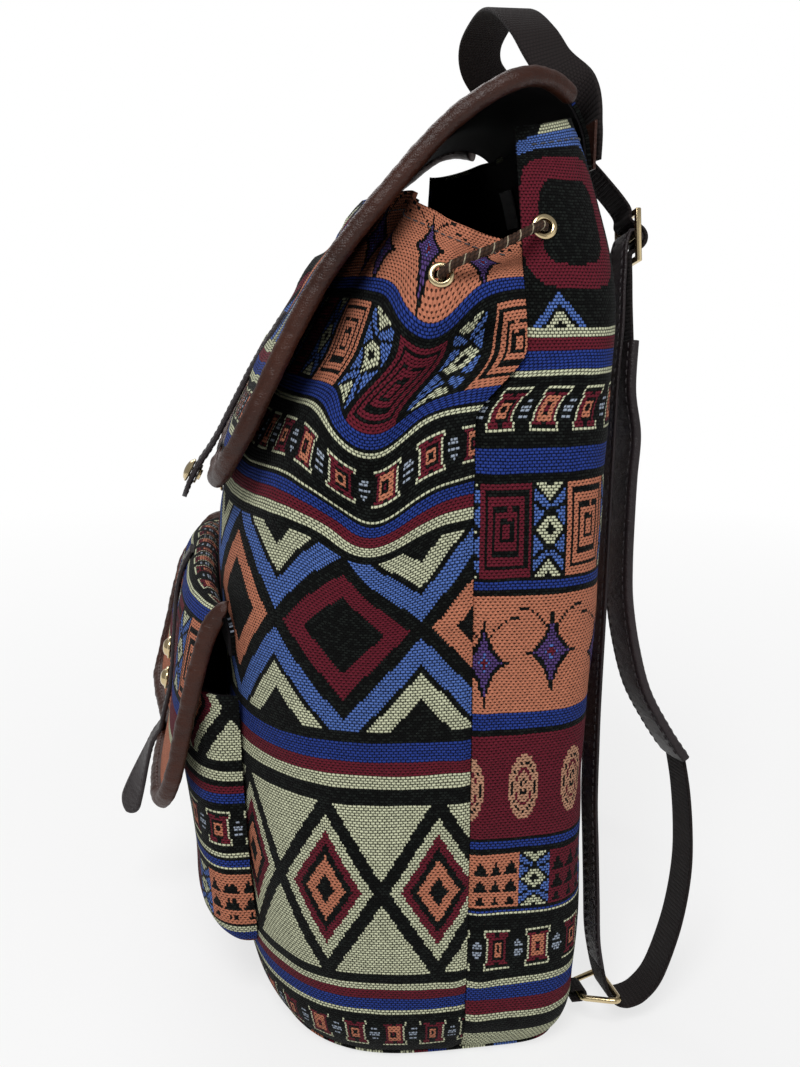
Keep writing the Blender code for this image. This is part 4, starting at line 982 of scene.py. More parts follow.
LINING = lining_cloth()
BROWN = coated("brown_coated", srgb("170a07"), srgb("47200f"), 0.46)
STRAP = coated("dark_coated", srgb("141012"), srgb("332a2c"), 0.46)
WEBBING = webbing_cloth()
CORD_BROWN = cord_thread("cord_brown", srgb("140c09"), srgb("432d20"))
CORD_PALE = cord_thread("cord_pale", srgb("6b5f4e"), srgb("b8ac92"))
GOLD = gold()
BROWN_THREAD = sewing_thread("brown_thread", srgb("2a1613"), srgb("5a352b"))
DARK_THREAD = sewing_thread("dark_thread", srgb("181416"), srgb("3d3438"))
PALE_THREAD = sewing_thread("pale_thread", srgb("2a2a2c"), srgb("4b4b50"))
LABEL = label_cloth()


# Body panels

def node_tree(name):
    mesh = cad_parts[name].data
    mesh.calc_loop_triangles()
    verts = [v.co.copy() for v in mesh.vertices]
    return BVHTree.FromPolygons(verts, [tuple(t.vertices) for t in mesh.loop_triangles])


def node_verts(name):
    return np.array([v.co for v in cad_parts[name].data.vertices], float)


front_tree = node_tree("front_panel")
back_tree = node_tree("back_panel")


def panel_y(x, z):
    hit = front_tree.ray_cast(Vector((x, -1.0, z)), Vector((0.0, 1.0, 0.0)))
    return hit[0].y if hit[0] is not None else front_y(x, z)


def back_panel_y(x, z):
    hit = back_tree.ray_cast(Vector((x, 1.0, z)), Vector((0.0, -1.0, 0.0)))
    return hit[0].y if hit[0] is not None else 0.08


def node_axis(name, towards):
    # Middle and axis of a turned CAD piece: most of its surface faces along the axis.
    centre = np.zeros(3)
    area = 0.0
    spread = np.zeros((3, 3))
    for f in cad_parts[name].data.polygons:
        m = np.array(f.normal)
        centre += np.array(f.center) * f.area
        area += f.area
        spread += np.outer(m, m) * f.area
    n = np.linalg.eigh(spread)[1][:, 2]
    return centre / area, (n if n @ np.asarray(towards) > 0 else -n)


def against(grid, way):
    # Whether the grid's own normals point away from the given direction.
    n = grid_normals(grid, False)
    return float(n[grid.shape[0] // 2, grid.shape[1] // 2] @ np.asarray(way, float)) < 0


PANEL_ROWS = 190
PANEL_COLS = 200
TABLE_TOP = 0.415
TABLE_ROWS = 150


def body_grid(front):
    # One panel with its lowered upper edge. The bands of the weave dip beside the front's seams.
    top = 0.384 if front else 0.413
    zs = np.linspace(0.003, top, PANEL_ROWS)
    us = np.linspace(0.0, 1.0, PANEL_COLS + 1)
    tab = np.array([body_row(us, z, front) for z in np.linspace(0.0, TABLE_TOP, TABLE_ROWS)])
    grid = np.zeros((len(zs), len(us), 3))
    uv = np.zeros((len(zs), len(us), 2))
    total = body_length(0.20, front)
    for i, u in enumerate(us):
        near = abs(2 * u - 1)
        for j, z0 in enumerate(zs):
            if front:
                drop = 0.022 * step01((near - 0.55) / 0.45) * step01((z0 - 0.346) / 0.037)
                drop += 0.007 * step01((0.45 - near) / 0.40) * step01((z0 - 0.353) / 0.031)
            else:
                drop = 0.006 * step01((near - 0.70) / 0.30) * step01((z0 - 0.39) / 0.02)
            f = (z0 - drop) / TABLE_TOP * (TABLE_ROWS - 1)
            k = min(int(f), TABLE_ROWS - 2)
            grid[j, i] = tab[k, i] * (1 - (f - k)) + tab[k + 1, i] * (f - k)
            edge = min(u, 1.0 - u) * total
            dip = 0.0
            if front:
                dip = 0.019 * math.exp(-((edge - 0.044) / 0.021) ** 2)
                dip *= step01((z0 - 0.185) / 0.075) * (1 - step01((z0 - 0.325) / 0.045))
            uv[j, i] = (edge, z0 + dip)
    return grid, uv


front, front_uv = body_grid(True)
back, back_uv = body_grid(False)
flip_front = against(front, (0, -1, 0))
flip_back = against(back, (0, 1, 0))
LINING_OUT = -(FABRIC_T + GAP)
LINING_IN = LINING_OUT - LINING_T
EYELETS = []
for name in ["eyelet_front_%d" % k for k in (1, 2, 3, 4)] + ["eyelet_wing_5", "eyelet_wing_6"]:
    middle = node_verts(name).mean(0)
    EYELETS.append((name, *node_axis(name, (middle[0], middle[1] - 0.01, 0.0))))
holes = [(c, 0.0040) for _, c, _ in EYELETS]
panels = [("front", front, front_uv, FRONT_CLOTH, flip_front, 0.0005),
          ("back", back, back_uv, BACK_CLOTH, flip_back, 0.0)]
for label, grid, uv, weave, flip, _ in panels:
    cloth(label + "_cloth", grid, 0.0, -FABRIC_T, uv, weave, label + "_panel", flip, holes,
          square_ends=True)
for label, grid, uv, _, flip, deeper in panels:
    inner = grid[4::2, 1:-1:2].copy()
    for i in (0, -1):
        inner[:, i, 0] -= 0.0006 * np.sign(inner[:, i, 0])
    cloth(label + "_lining_cloth", inner, LINING_OUT - deeper, LINING_IN - deeper, uv[4::2, 1:-1:2], LINING,
          label + "_lining", flip, holes, square_ends=True)


def base_piece(name, z0, z1, z_out, inset, mat, node, uv_low):
    # A flat cloth base with a rounded edge.
    count = 160
    a, bf, bb = [smooth_table(BODY_Z, table, z_out) - inset for table in (BODY_A, BODY_F, BODY_B)]
    levels = [(0.001, z0), (0.5, z0), (0.9, z0), (0.985, z0), (1.0, z0 + (z1 - z0) * 0.35),
              (1.0, z0 + (z1 - z0) * 0.7), (0.985, z1), (0.9, z1), (0.5, z1), (0.001, z1)]
    verts = []
    for f, z in levels:
        for k in range(count):
            ang = 2 * math.pi * (k + 0.5) / count
            co = math.cos(ang)
            si = math.sin(ang)
            p = BACK_POWER if si > 0 else FRONT_POWER
            b = bb if si > 0 else bf
            verts.append((a * f * math.copysign(abs(co) ** (2 / p), co),
                          SEAM_Y + b * f * math.copysign(abs(si) ** (2 / p), si), z))
    faces = tube_faces(len(levels), count)
    uvs = [(verts[q][0] + 0.2, (verts[q][1] + 0.1) + uv_low) for corners in faces for q in corners]
    fix_normals(finish_mesh(name, verts, faces, uvs, mat, node, 50))


base_piece("base_cloth", 0.0, BASE_T, 0.003, 0.0006, FRONT_CLOTH, "base_panel", 0.05)
base_piece("base_lining_cloth", BASE_T + GAP, BASE_T + GAP + LINING_T, 0.006, 0.0052, LINING,
           "base_lining", 0.0)

# Eyelets
EYELET_RIM = [(EYELET_HOLE, 0.0010), (EYELET_HOLE + 0.0002, 0.0003), (EYELET_HOLE + 0.0007, 0.0),
              (EYELET_FLANGE - 0.0013, 0.0), (EYELET_FLANGE - 0.0006, 0.00015),
              (EYELET_FLANGE - 0.0002, 0.0004), (EYELET_FLANGE, 0.0007), (EYELET_BARREL, 0.0007)]
for name, c, n in EYELETS:
    heights = (node_verts(name) - c) @ n
    hi = float(heights.max())
    lo = float(heights.min())
    prof = [(r, hi - d) for r, d in EYELET_RIM] + [(r, lo + d) for r, d in EYELET_RIM[::-1]]
    lathe(name + "_metal", prof, c, n, GOLD, name, 48)

# Drawstring of three twisted brown strands with a thin pale thread in one groove
(_, front_1, out_1), (_, front_2, out_2) = EYELETS[:2]
wing, wing_out = EYELETS[4][1:]


def inside(share, off, front):
    # A point off the inner side of the front or back wall, at the cord's height there.
    y, z = (0.012, 0.349) if front else (0.03, 0.366)
    p = body_point(share, z, front)
    return p + unit(np.array([-p[0], y - p[1], 0.0])) * off


def through(c, n, outwards):
    a = [c - n * 0.0100, c - n * 0.0066, c - n * 0.0033, c, c + n * 0.0040]
    return a if outwards else a[::-1]


right_half = [inside(share, off, False) for share, off in ((0.42, 0.0135), (0.34, 0.0135), (0.25, 0.0145),
                                                           (0.16, 0.0145))]
right_half += through(wing, wing_out, True)
side_mid = (wing + wing_out * 0.0085 + front_1 + out_1 * 0.0085) / 2 + np.array([0.0015, 0.0, -0.0010])
right_half += [wing + wing_out * 0.0078 + unit(front_1 - wing) * 0.0060, side_mid,
               front_1 + out_1 * 0.0078 + unit(wing - front_1) * 0.0060]
right_half += through(front_1, out_1, False)
right_half += [inside(share, off, True) for share, off in ((0.155, 0.0175), (0.215, 0.0175), (0.28, 0.0175),
                                                           (0.34, 0.0155))]
right_half += through(front_2, out_2, True)
for dz, lift in mm((-10, 4.2), (-20, 4.4), (-30, 4.5), (-39, 4.5)):
    z = front_2[2] + dz
    right_half.append(np.array([front_2[0] - 0.003 + dz * 0.05, front_y(front_2[0], z) - lift, z]))
left_half = [p * np.array([-1.0, 1.0, 1.0]) for p in right_half]
cord_line = spline(left_half[::-1] + [inside(0.5, 0.013, False)] + right_half, 900)
for _ in range(22):
    cord_line[1:-1] = (cord_line[:-2] + 2 * cord_line[1:-1] + cord_line[2:]) / 4
cord_line = sample(cord_line, np.arange(len(cord_line)), np.linspace(0, len(cord_line) - 1, 1400))
cord_pts, cord_side, cord_up = tube_frame(cord_line)
cord_run = run_of(cord_pts)
TWIST = 0.0060
STRAND_ROUND = 0.006
# Radius, distance from the cord's middle line, sides
BROWN_STRAND = (CORD_R * 0.48, CORD_R * 0.535, 8)
PALE_STRAND = (0.00034, CORD_R * 0.84, 5)
verts = []
faces = []
uvs = []
mats = []
for start, strand in ((0, BROWN_STRAND), (120, BROWN_STRAND), (240, BROWN_STRAND), (60, PALE_STRAND)):
    radius, off, sides = strand
    ang = np.radians(start) + 2 * math.pi * cord_run / TWIST
    middle = cord_pts + (cord_side * np.cos(ang)[:, None] + cord_up * np.sin(ang)[:, None]) * off
    base = len(verts)
    for p, side, up in zip(*tube_frame(middle)):
        verts += [p + side * px + up * py for px, py in circle(radius, sides)]
    faces += tube_faces(len(cord_pts), sides, first=base)
    uvs += tube_uvs([i / sides * STRAND_ROUND for i in range(sides + 1)], cord_run)
    mats += [1 if strand is PALE_STRAND else 0] * (len(faces) - len(mats))
cord_obj = finish_mesh("drawstring_twist", verts, faces, uvs, CORD_BROWN, "drawstring", 0)
cord_obj.data.materials.append(CORD_PALE)
cord_obj.data.polygons.foreach_set("material_index", mats)
KNOT = mm((0, 0.4), (2.4, 0.6), (3.0, 1.3), (3.3, 2.0), (3.0, 2.6), (3.4, 3.6), (3.4, 4.5), (2.9, 5.2),
          (3.0, 6.0), (2.4, 7.0), (1.4, 7.7), (0, 7.9))
for name, half in (("cord_knot_right", right_half), ("cord_knot_left", left_half)):
    lathe(name + "_cloth", KNOT, half[-1], unit(half[-1] - half[-2]), CORD_BROWN, name, 20, sharp=0)


# Flaps

def flap_grid(mid, side, half_at, flat_levels, corner, corner_keep, power):
    # A flap between its line down the middle and the one down its sides, with rounded lower corners.
    m, s = [spline([(0.0, y, z) for y, z in line], 121) for line in (mid, side)]
    levels = list(np.linspace(0.0, corner, flat_levels))
    levels += [corner + (1 - corner) * math.sin(math.pi / 2 * k / 16) for k in range(1, 17)]
    ws = np.sin(np.linspace(-math.pi / 2, math.pi / 2, 101) * 0.92) / math.sin(math.pi / 2 * 0.92)
    grid = np.zeros((len(levels), len(ws), 3))
    for j, v in enumerate(levels):
        half = half_at(v)
        if v > corner:
            t = (v - corner) / (1 - corner)
            half *= corner_keep + (1 - corner_keep) * math.sqrt(max(1 - t * t, 0.0))
        mp, sp = [sample(line, range(121), [v * 120])[0] for line in (m, s)]
        for i, w in enumerate(ws):
            q = (abs(w) * half / half_at(v)) ** power
            p = mp * (1 - q) + sp * q
            grid[j, i] = (w * half, p[1], p[2])
    return grid, np.array(levels)


def flap_uv(grid):
    run = run_of(grid[:, grid.shape[1] // 2])
    uv = np.zeros(grid.shape[:2] + (2,))
    uv[:, :, 0] = grid[:, :, 0] + 0.3
    uv[:, :, 1] = (run[-1] - run)[:, None]
    return uv


def edge_path(grid, flip, start, half_w):
    # The binding's line: down one side from the start row, round the lower edge and up the other side.
    n = grid_normals(grid, flip)
    rows, cols = grid.shape[:2]
    idx = [(j, 0) for j in range(start, rows)] + [(rows - 1, i) for i in range(1, cols)]
    idx += [(j, cols - 1) for j in range(rows - 2, start - 1, -1)]
    pts = np.array([grid[j, i] for j, i in idx])
    nor = np.array([n[j, i] for j, i in idx])
    for line, times in ((nor, 14), (pts, 6)):
        for _ in range(times):
            line[1:-1] = (line[:-2] + 2 * line[1:-1] + line[2:]) / 4
    run = run_of(pts)
    at = np.linspace(0, run[-1], 420)
    pts = sample(pts, run, at)
    nor = sample(nor, run, at)
    within = grid[rows // 2, cols // 2]
    outs = []
    ups = []
    centres = []
    for p, m, d in zip(pts, nor, tangents(pts)):
        m = unit(m - d * (m @ d))
        o = unit(np.cross(d, m))
        if o @ (p - within) < 0:
            o = -o
        outs.append(o)
        ups.append(m)
        centres.append(p + o * (half_w - 0.0016) + m * (LINING_IN / 2))
    return np.array(centres), np.array(outs), np.array(ups), at


BINDING_UNDER = 1.12


def binding(name, node, grid, flip, start, half_w, half_t, outer):
    # A rolled edge, fuller on its outer side and drawn in by its stitches.
    centres, outs, ups, run = edge_path(grid, flip, start, half_w)
    prof = []
    for k in range(22):
        a = 2 * math.pi * k / 22
        x = half_w * math.cos(a)
        flatter = 1.0 if x > 0 else 1.0 - 0.30 * (x / half_w) ** 2
        prof.append((x, half_t * (outer if math.sin(a) > 0 else BINDING_UNDER) * math.sin(a) * flatter))
    rng = np.random.default_rng(7)
    pull = np.ones(len(run))
    for f, a in ((190.0, 0.020), (430.0, 0.016), (90.0, 0.020)):
        pull += a * np.sin(run * f * 2 * math.pi / 2.2 + rng.uniform(0, 6.28))
    obj = sweep(name, centres, outs, ups, prof, BROWN, "brown_trim", node, sharp=0, scale=pull)
    lines = []
    for s, full in ((1, outer), (-1, BINDING_UNDER)):
        at = centres - outs * (half_w * 0.78) + ups * (s * half_t * full * 0.60)
        lines.append((at[6:-6], ups[6:-6] * s))
    stitches(name + "_stitches", lines, BROWN_THREAD)
    return obj


FLAP_MID = mm((83.2, 396), (81.5, 412), (73, 425), (56, 431), (37, 428), (17, 414), (-3, 396), (-31, 364),
              (-53, 331), (-78, 286), (-85, 266))
FLAP_SIDE = mm((80, 394), (77.5, 408), (69, 419), (55, 425), (37, 423.5), (14, 410), (-5, 391.5),
               (-33, 358.5), (-51.5, 329), (-74.5, 284), (-80, 270))
FLAP_ROOT_HALF = 0.080
FLAP_HALF = 0.1130


def flap_half(v):
    return FLAP_ROOT_HALF + (FLAP_HALF - FLAP_ROOT_HALF) * step01((v - 0.03) / 0.24)


flap, flap_levels = flap_grid(FLAP_MID, FLAP_SIDE, flap_half, 110, 0.90, 0.72, 3.2)
for j, v in enumerate(flap_levels):
    for i in range(flap.shape[1]):
        wave = 0.0009 * math.sin(flap[j, i, 0] * 70 + 2 * v) * math.sin(v * 9)
        flap[j, i, 2] += wave * step01(v / 0.2)
# The open flap sags in the middle and hangs lower on the left, as far as what lies under it allows.
UNDER_FLAP = [node_tree(name) for name in (
    "front_panel", "back_panel", "front_lining", "back_lining", "drawstring", "cord_knot_right",
    "cord_knot_left", "eyelet_front_2", "eyelet_front_3", "body_snap_socket")]
SAG_WAY = Vector((0.0, 0.80, -0.60))
FLAP_CLEAR = 0.0046
sag = np.zeros(flap.shape[:2])
room = np.zeros(flap.shape[:2])
for j, v in enumerate(flap_levels):
    for i in range(flap.shape[1]):
        x = flap[j, i, 0]
        mid_sag = 0.0034 * math.cos(min(abs(x) / 0.100, 1.0) * math.pi / 2) ** 2
        left_drop = 0.0095 * max(0.03 - x, 0.0) / 0.143
        sag[j, i] = (mid_sag + left_drop) * step01((v - 0.10) / 0.25) * (1 - 0.55 * step01((v - 0.62) / 0.38))
        gaps = [t.ray_cast(Vector(flap[j, i]), SAG_WAY, 0.05)[3] for t in UNDER_FLAP]
        room[j, i] = max(min([g for g in gaps if g is not None], default=0.05) - FLAP_CLEAR, 0.0)
for _ in range(3):
    wide = room.copy()
    for dj, di in ((1, 0), (-1, 0), (0, 1), (0, -1)):
        wide = np.minimum(wide, np.roll(room, (dj, di), (0, 1)))
    room = wide
sag = np.minimum(sag, room)
for _ in range(40):
    sag[1:-1, 1:-1] = (sag[:-2, 1:-1] + sag[2:, 1:-1] + sag[1:-1, :-2] + sag[1:-1, 2:]
                       + 4 * sag[1:-1, 1:-1]) / 8
    sag = np.minimum(sag, room)
flap += sag[:, :, None] * np.array(SAG_WAY)


def grid_area(grid):
    a = grid[1:, 1:] - grid[:-1, :-1]
    b = grid[1:, :-1] - grid[:-1, 1:]
    return float(np.linalg.norm(np.cross(a, b), axis=2).sum() / 2)


def flap_pieces(label, node, grid, uv, weave, start, half_w, half_t, outer):
    # Cloth, lining and binding of a flap.
    flip = against(grid, (0.0, -0.7, 0.7))
    piece = cloth(label + "_cloth", grid, 0.0, -FABRIC_T, uv, weave, node, flip)
    lining = cloth(label + "_lining_cloth", grid, LINING_OUT, LINING_IN, uv, LINING,
                   label + "_lining", flip)
    edge = binding(label + "_edge", label + "_binding", grid, flip, start, half_w, half_t, outer)
    run = float(run_of(grid[:, grid.shape[1] // 2])[-1])
    wide = float(grid[:, :, 0].max() - grid[:, :, 0].min())
    min(grid_area(grid), wide * run)


flap_pieces("flap", "flap_fabric", flap, flap_uv(flap), FLAP_CLOTH,
            int(np.searchsorted(flap_levels, 2 / 13 * 0.90)),
            BINDING_HALF_WIDTH, BINDING_HALF_T, 1.55)
ALONG_X = np.array([1.0, 0.0, 0.0])


def outward(d):
    # Square to a strap that runs along d, and away from the bag.
    n = unit(np.cross(ALONG_X, d))
    return -n if n[1] > 0 else n


def over_surface(line, count, lift, lift_end, hang):
    c = spline([(0.0, y, z) for y, z in line], count)
    out = []
    for k, (p, d) in enumerate(zip(c, tangents(c))):
        out.append(p + outward(d) * (lift + (lift_end - lift) * step01((k / (count - 1) - 0.70) / 0.30)))
    return out + [np.array([0.0, y, z]) for y, z in hang]


def strap_tip(name, node, pts, width, thick, turn=0.0, turn_from=0.6):
    # A flat strap with a rounded free end and a line of stitches inside its edge.
    dense = spline(pts, 161)
    run = run_of(dense)
    total = run[-1]
    r = width / 2
    at = list(np.linspace(0, total - r, 70))
    at += [total - r * (1 - math.sin(math.pi / 2 * k / 14)) for k in range(1, 15)]
    rows = sample(dense, run, at)
    t = tangents(rows)
    t[-1] = t[-2]
    across = []
    for k in range(len(rows)):
        ang = math.radians(turn) * step01((at[k] / total - turn_from) / (1 - turn_from))
        across.append(ALONG_X * math.cos(ang) + unit(np.cross(ALONG_X, t[k])) * math.sin(ang))
    ups = [unit(np.cross(t[k], across[k])) for k in range(len(rows))]

    def half_width(left, radius):
        # Half the width of a tip of this radius, this far from the strap's end
        return math.sqrt(max(radius * radius - (r - left) ** 2, 0.0))

    base = flat_profile(width, thick, 0.46, 5, 0.0002)
    verts = []
    for k in range(len(rows)):
        left = total - at[k]
        half = r if left >= r else max(half_width(left, r), r * 0.12)
        for px, py in base:
            verts.append(rows[k] + across[k] * px * half / r + ups[k] * py)
    faces = tube_faces(len(rows), len(base), capped=True)
    fix_normals(finish_mesh(name, verts, faces, None, STRAP, node, 45))
    lines = []
    inset = 0.0022
    keep = [k for k in range(2, len(rows)) if total - at[k] >= inset]
    for s in (1, -1):
        edge = []
        for sgn, order in ((1, keep), (-1, keep[::-1])):
            for k in order:
                left = total - at[k]
                h = r - inset if left >= r else half_width(left, r - inset)
                edge.append(rows[k] + across[k] * h * sgn + ups[k] * s * (thick / 2 - 0.00005))
        lines.append((edge, [ups[k] * s for k in keep + keep[::-1]]))
    stitches(name + "_stitches", lines, DARK_THREAD, radius=0.00024)
    return rows


def on_strap(rows, z):
    # The point of a strap's middle line at this height, and the way out of the strap there.
    k = int(np.argmin(np.abs(rows[:, 2] - z)))
    k = min(max(k, 1), len(rows) - 2)
    j = k if rows[k][2] > z else k - 1
    f = (rows[j][2] - z) / (rows[j][2] - rows[j + 1][2])
    return rows[j] * (1 - f) + rows[j + 1] * f, outward(unit(rows[j + 1] - rows[j]))


mid_col = flap[::-1, flap.shape[1] // 2]
on_flap = [(float(np.interp(z, mid_col[:90, 2], mid_col[:90, 1])), z) for z in (0.3310, 0.3080, 0.2860)]
flap_tail = over_surface(on_flap + mm((-83.5, 271)), 7, 0.0022, 0.0022,
                         mm((-90.5, 264), (-95.5, 257), (-100.5, 248), (-104, 239.5)))
TONGUE_T = 0.0022
flap_rows = strap_tip("flap_tongue", "flap_strap", flap_tail, 0.022, TONGUE_T)
snap_p, snap_n = on_strap(flap_rows, 0.2520)
SNAP_CAP = mm((0, 0.6), (5.6, 0.6), (6.1, 0.9), (6.3, 1.4), (6.0, 1.9), (5.5, 2.1), (5.2, 2.6), (4.3, 3.2),
              (3.0, 3.7), (1.5, 4.0), (0, 4.1))
SNAP_BACK = mm((0, 0.6), (5.0, 0.6), (5.2, 0.9), (5.2, 1.3), (5.0, 1.5), (2.8, 1.5), (2.8, 2.4), (2.6, 2.6),
               (0, 2.6))
for name, prof, n in (("flap_snap_cap", SNAP_CAP, snap_n), ("flap_snap_back", SNAP_BACK, -snap_n)):
    lathe(name + "_metal", prof, snap_p + n * TONGUE_T / 2, n, GOLD, name)

# A snap socket's profile, as shares of its radius and its depth
SOCKET = [(0.0, 0.0), (1.0, 0.0), (1.0, 0.5), (0.95, 0.8), (0.84, 1.0), (0.62, 1.0), (0.54, 0.9), (0.50, 0.6),
          (0.50, 0.35), (0.20, 0.35), (0.16, 0.5), (0.0, 0.5)]


def socket(name, node):
    co = node_verts(node)
    lo = co.min(0)
    hi = co.max(0)
    r = (hi[0] - lo[0]) / 2
    prof = [(r * a, (hi[1] - lo[1]) * b) for a, b in SOCKET]
    lathe(name, prof, ((lo[0] + hi[0]) / 2, hi[1], (lo[2] + hi[2]) / 2), (0, -1, 0), GOLD, node)


socket("body_snap_metal", "body_snap_socket")

# Front pocket
POCKET_LOW = 0.036
POCKET_HIGH = 0.166


def pocket_grid(zs, cols):
    grid = np.zeros((len(zs), cols + 1, 3))
    uv = np.zeros((len(zs), cols + 1, 2))
    for j, z in enumerate(zs):
        rise = min((z - POCKET_LOW) / 0.020, 1.0)
        full = math.sqrt(max(1 - (1 - rise) ** 2, 0.0))
        depth = 0.0040 + (POCKET_DEPTH - 0.0040) * full - 0.0035 * step01((z - 0.11) / 0.05)
        half = POCKET_HALF_WIDTH - 0.012 * (1 - full)
        ang = np.linspace(0, math.pi, 361)
        px = half * np.sign(np.cos(ang)) * np.abs(np.cos(ang)) ** (2 / 4.5)
        pd = depth * np.abs(np.sin(ang)) ** (2 / 4.5)
        run = run_of(np.stack([px, pd], axis=1))
        for i in range(cols + 1):
            s = run[-1] * i / cols
            x = float(np.interp(s, run, px))
            d = float(np.interp(s, run, pd))
            bulge = 0.0015 * math.sin(z * 60) * (1 - (x / POCKET_HALF_WIDTH) ** 2)
            base = min(panel_y(x * k, z + dz) for k in (1.0, 0.96) for dz in (-0.005, 0.005))
            ripple = 0.0007 * math.sin(z * 210 + x * 30) * step01((z - 0.10) / 0.05) * step01(d / 0.012)
            grid[j, i] = (x, base - 0.0005 - d - (bulge + ripple) * step01(d / 0.01), z)
            uv[j, i] = (min(s, run[-1] - s), z)
    return grid, uv


zs = np.concatenate([np.linspace(POCKET_LOW, 0.056, 16)[:-1], np.linspace(0.056, POCKET_HIGH, 60)])
pocket, pocket_uvs = pocket_grid(zs, 130)
flip_pocket = against(pocket, (0, -1, 0))
cloth("pocket_cloth", pocket, 0.0, -FABRIC_T, pocket_uvs, POCKET_CLOTH, "pocket_shell",
      flip_pocket)
cloth("pocket_lining_cloth", pocket[8:, 2:-2], LINING_OUT, LINING_IN, pocket_uvs[8:, 2:-2], LINING,
      "pocket_lining", flip_pocket)
PFLAP_MID = mm((-90.5, 199), (-91.5, 207), (-95, 212.5), (-100, 212.5), (-104.5, 206), (-107.5, 194),
               (-109.5, 178), (-111.5, 158), (-114.5, 136), (-119.5, 113))
PFLAP_SIDE = mm((-80.3, 184), (-80.3, 195), (-82.2, 204.5), (-86.2, 206.5), (-91.5, 199), (-96, 185),
                (-100, 170), (-104, 153), (-108, 135), (-113, 113))
PFLAP_HALF = 0.0900
pflap, pflap_levels = flap_grid(PFLAP_MID, PFLAP_SIDE, lambda v: PFLAP_HALF + 0.0015 * v, 90, 0.80, 0.78, 3.6)
# The levels of the solid flap's rows
solid_levels = [0.80 * k / 9 for k in range(10)]
solid_levels += [0.80 + 0.20 * math.sin(math.pi / 2 * k / 4) for k in range(1, 5)]
shift = []
for x, y, z in pflap[0]:
    shift.append(min(panel_y(x, z + dz) for dz in (-0.003, 0.0, 0.004)) - 0.0006 - y)
for j, v in enumerate(pflap_levels):
    row = float(np.interp(v, solid_levels, range(14)))
    for i in range(pflap.shape[1]):
        x, y, z = pflap[j, i]
        y += shift[i] * max(1 - row / 4, 0.0)
        far = max((-x - 0.020) / (PFLAP_HALF - 0.020), 0.0)
        pflap[j, i] = (x, y - 0.014 * far * min(row / 13 * 2.5, 1.0), z + 0.009 * far * row / 13)
pflap_uvs = flap_uv(pflap)
pflap_uvs[:, :, 1] = pflap_uvs[:, :, 1].max() - pflap_uvs[:, :, 1]
pick = [int(np.searchsorted(pflap_levels, solid_levels[k])) for k in range(2, 13)]
flap_pieces("pocket_flap", "pocket_flap", pflap, pflap_uvs, POCKET_FLAP_CLOTH, pick[0],
            0.0047, 0.0023, 2.3)
mid_line = [tuple(pflap[k, pflap.shape[1] // 2][1:]) for k in pick]
ptail = over_surface(mid_line, 14, 0.0016, 0.0028,
                     mm((-126.5, 108), (-131, 97), (-135.5, 85), (-139.5, 74), (-142.5, 65)))
ptail_rows = strap_tip("pocket_tongue", "pocket_strap", ptail, 0.017, TONGUE_T, turn=40.0, turn_from=0.66)
STUD = mm((0, 0.5), (5.6, 0.5), (6.0, 0.8), (6.1, 1.3), (5.9, 1.8), (5.3, 2.1), (4.8, 2.0), (4.6, 2.4),
          (4.2, 3.2), (3.4, 4.0), (2.2, 4.5), (1.0, 4.7), (0, 4.7))
for name, z in (("pocket_stud_upper", 0.1580), ("pocket_stud_lower", 0.1410)):
    p, n = on_strap(ptail_rows, z)
    lathe(name + "_metal", STUD, p + n * TONGUE_T / 2, n, GOLD, name)
socket("pocket_snap_metal", "pocket_snap_socket")

# Handle and shoulder straps
# Share of the half span, then y and z in millimetres
HANDLE_LINE = [(1, 86.3, 399), (1, 86.3, 412), (0.97, 84, 422), (0.86, 76.5, 433.5), (0.73, 69.5, 445.5),
               (0.57, 64.5, 458), (0.30, 60.5, 469), (0, 58.2, 473.8), (-0.30, 56, 471.4),
               (-0.57, 54.5, 464.5), (-0.76, 58, 456), (-0.90, 68, 446.5), (-0.97, 79, 434.5),
               (-1, 85, 423), (-1, 86.3, 412),
               (-1, 86.3, 399)]
hp = spline([(HANDLE_HALF_SPAN * share, *mm((y, z))[0]) for share, y, z in HANDLE_LINE], 200)
hsides = []
hups = []
for p, d in zip(hp, tangents(hp)):
    turn = step01((p[2] - 0.412) / 0.036)
    y = np.array([0.0, 1.0, 0.0])
    y = unit(y - d * (y @ d))
    mixed = unit(y * turn + unit(np.cross(y, d)) * (1 - turn))
    mixed = unit(mixed - d * (mixed @ d))
    hsides.append(mixed)
    hups.append(unit(np.cross(d, mixed)))
sweep("handle_web", hp, hsides, hups, flat_profile(HANDLE_WIDTH, HANDLE_T), WEBBING, "webbing", "handle",
      sharp=0)


def strap_points(yz, side):
    # Points of a strap, whose middle line leans outwards as it goes down.
    return [np.array([side * (STRAP_TOP_X + (STRAP_TOP_Z - z) * STRAP_LEAN), y, z]) for y, z in yz]


def at_slider(points):
    # Points given from the slider's middle, height first.
    return [(SLIDER_Y + y, SLIDER_Z + z) for z, y in points]


def slider_metal(label):
    # The CAD slider with its edges rounded.
    bm = bmesh.new()
    bm.from_mesh(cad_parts["slider_" + label].data)
    bmesh.ops.remove_doubles(bm, verts=bm.verts, dist=1e-6)
    bmesh.ops.dissolve_limit(bm, angle_limit=math.radians(1), verts=bm.verts, edges=bm.edges)
    edges = [e for e in bm.edges if e.is_manifold and e.calc_face_angle(0) > 0.5]
    bmesh.ops.bevel(bm, geom=edges, offset=0.00055, segments=4, profile=0.5, affect="EDGES",
                    clamp_overlap=True)
    mesh = bpy.data.meshes.new("slider_metal_" + label)
    bm.to_mesh(mesh)
    bm.free()
    mesh.materials.clear()
    place_mesh("slider_metal_" + label, mesh, GOLD, "slider_" + label, 50, "bag")


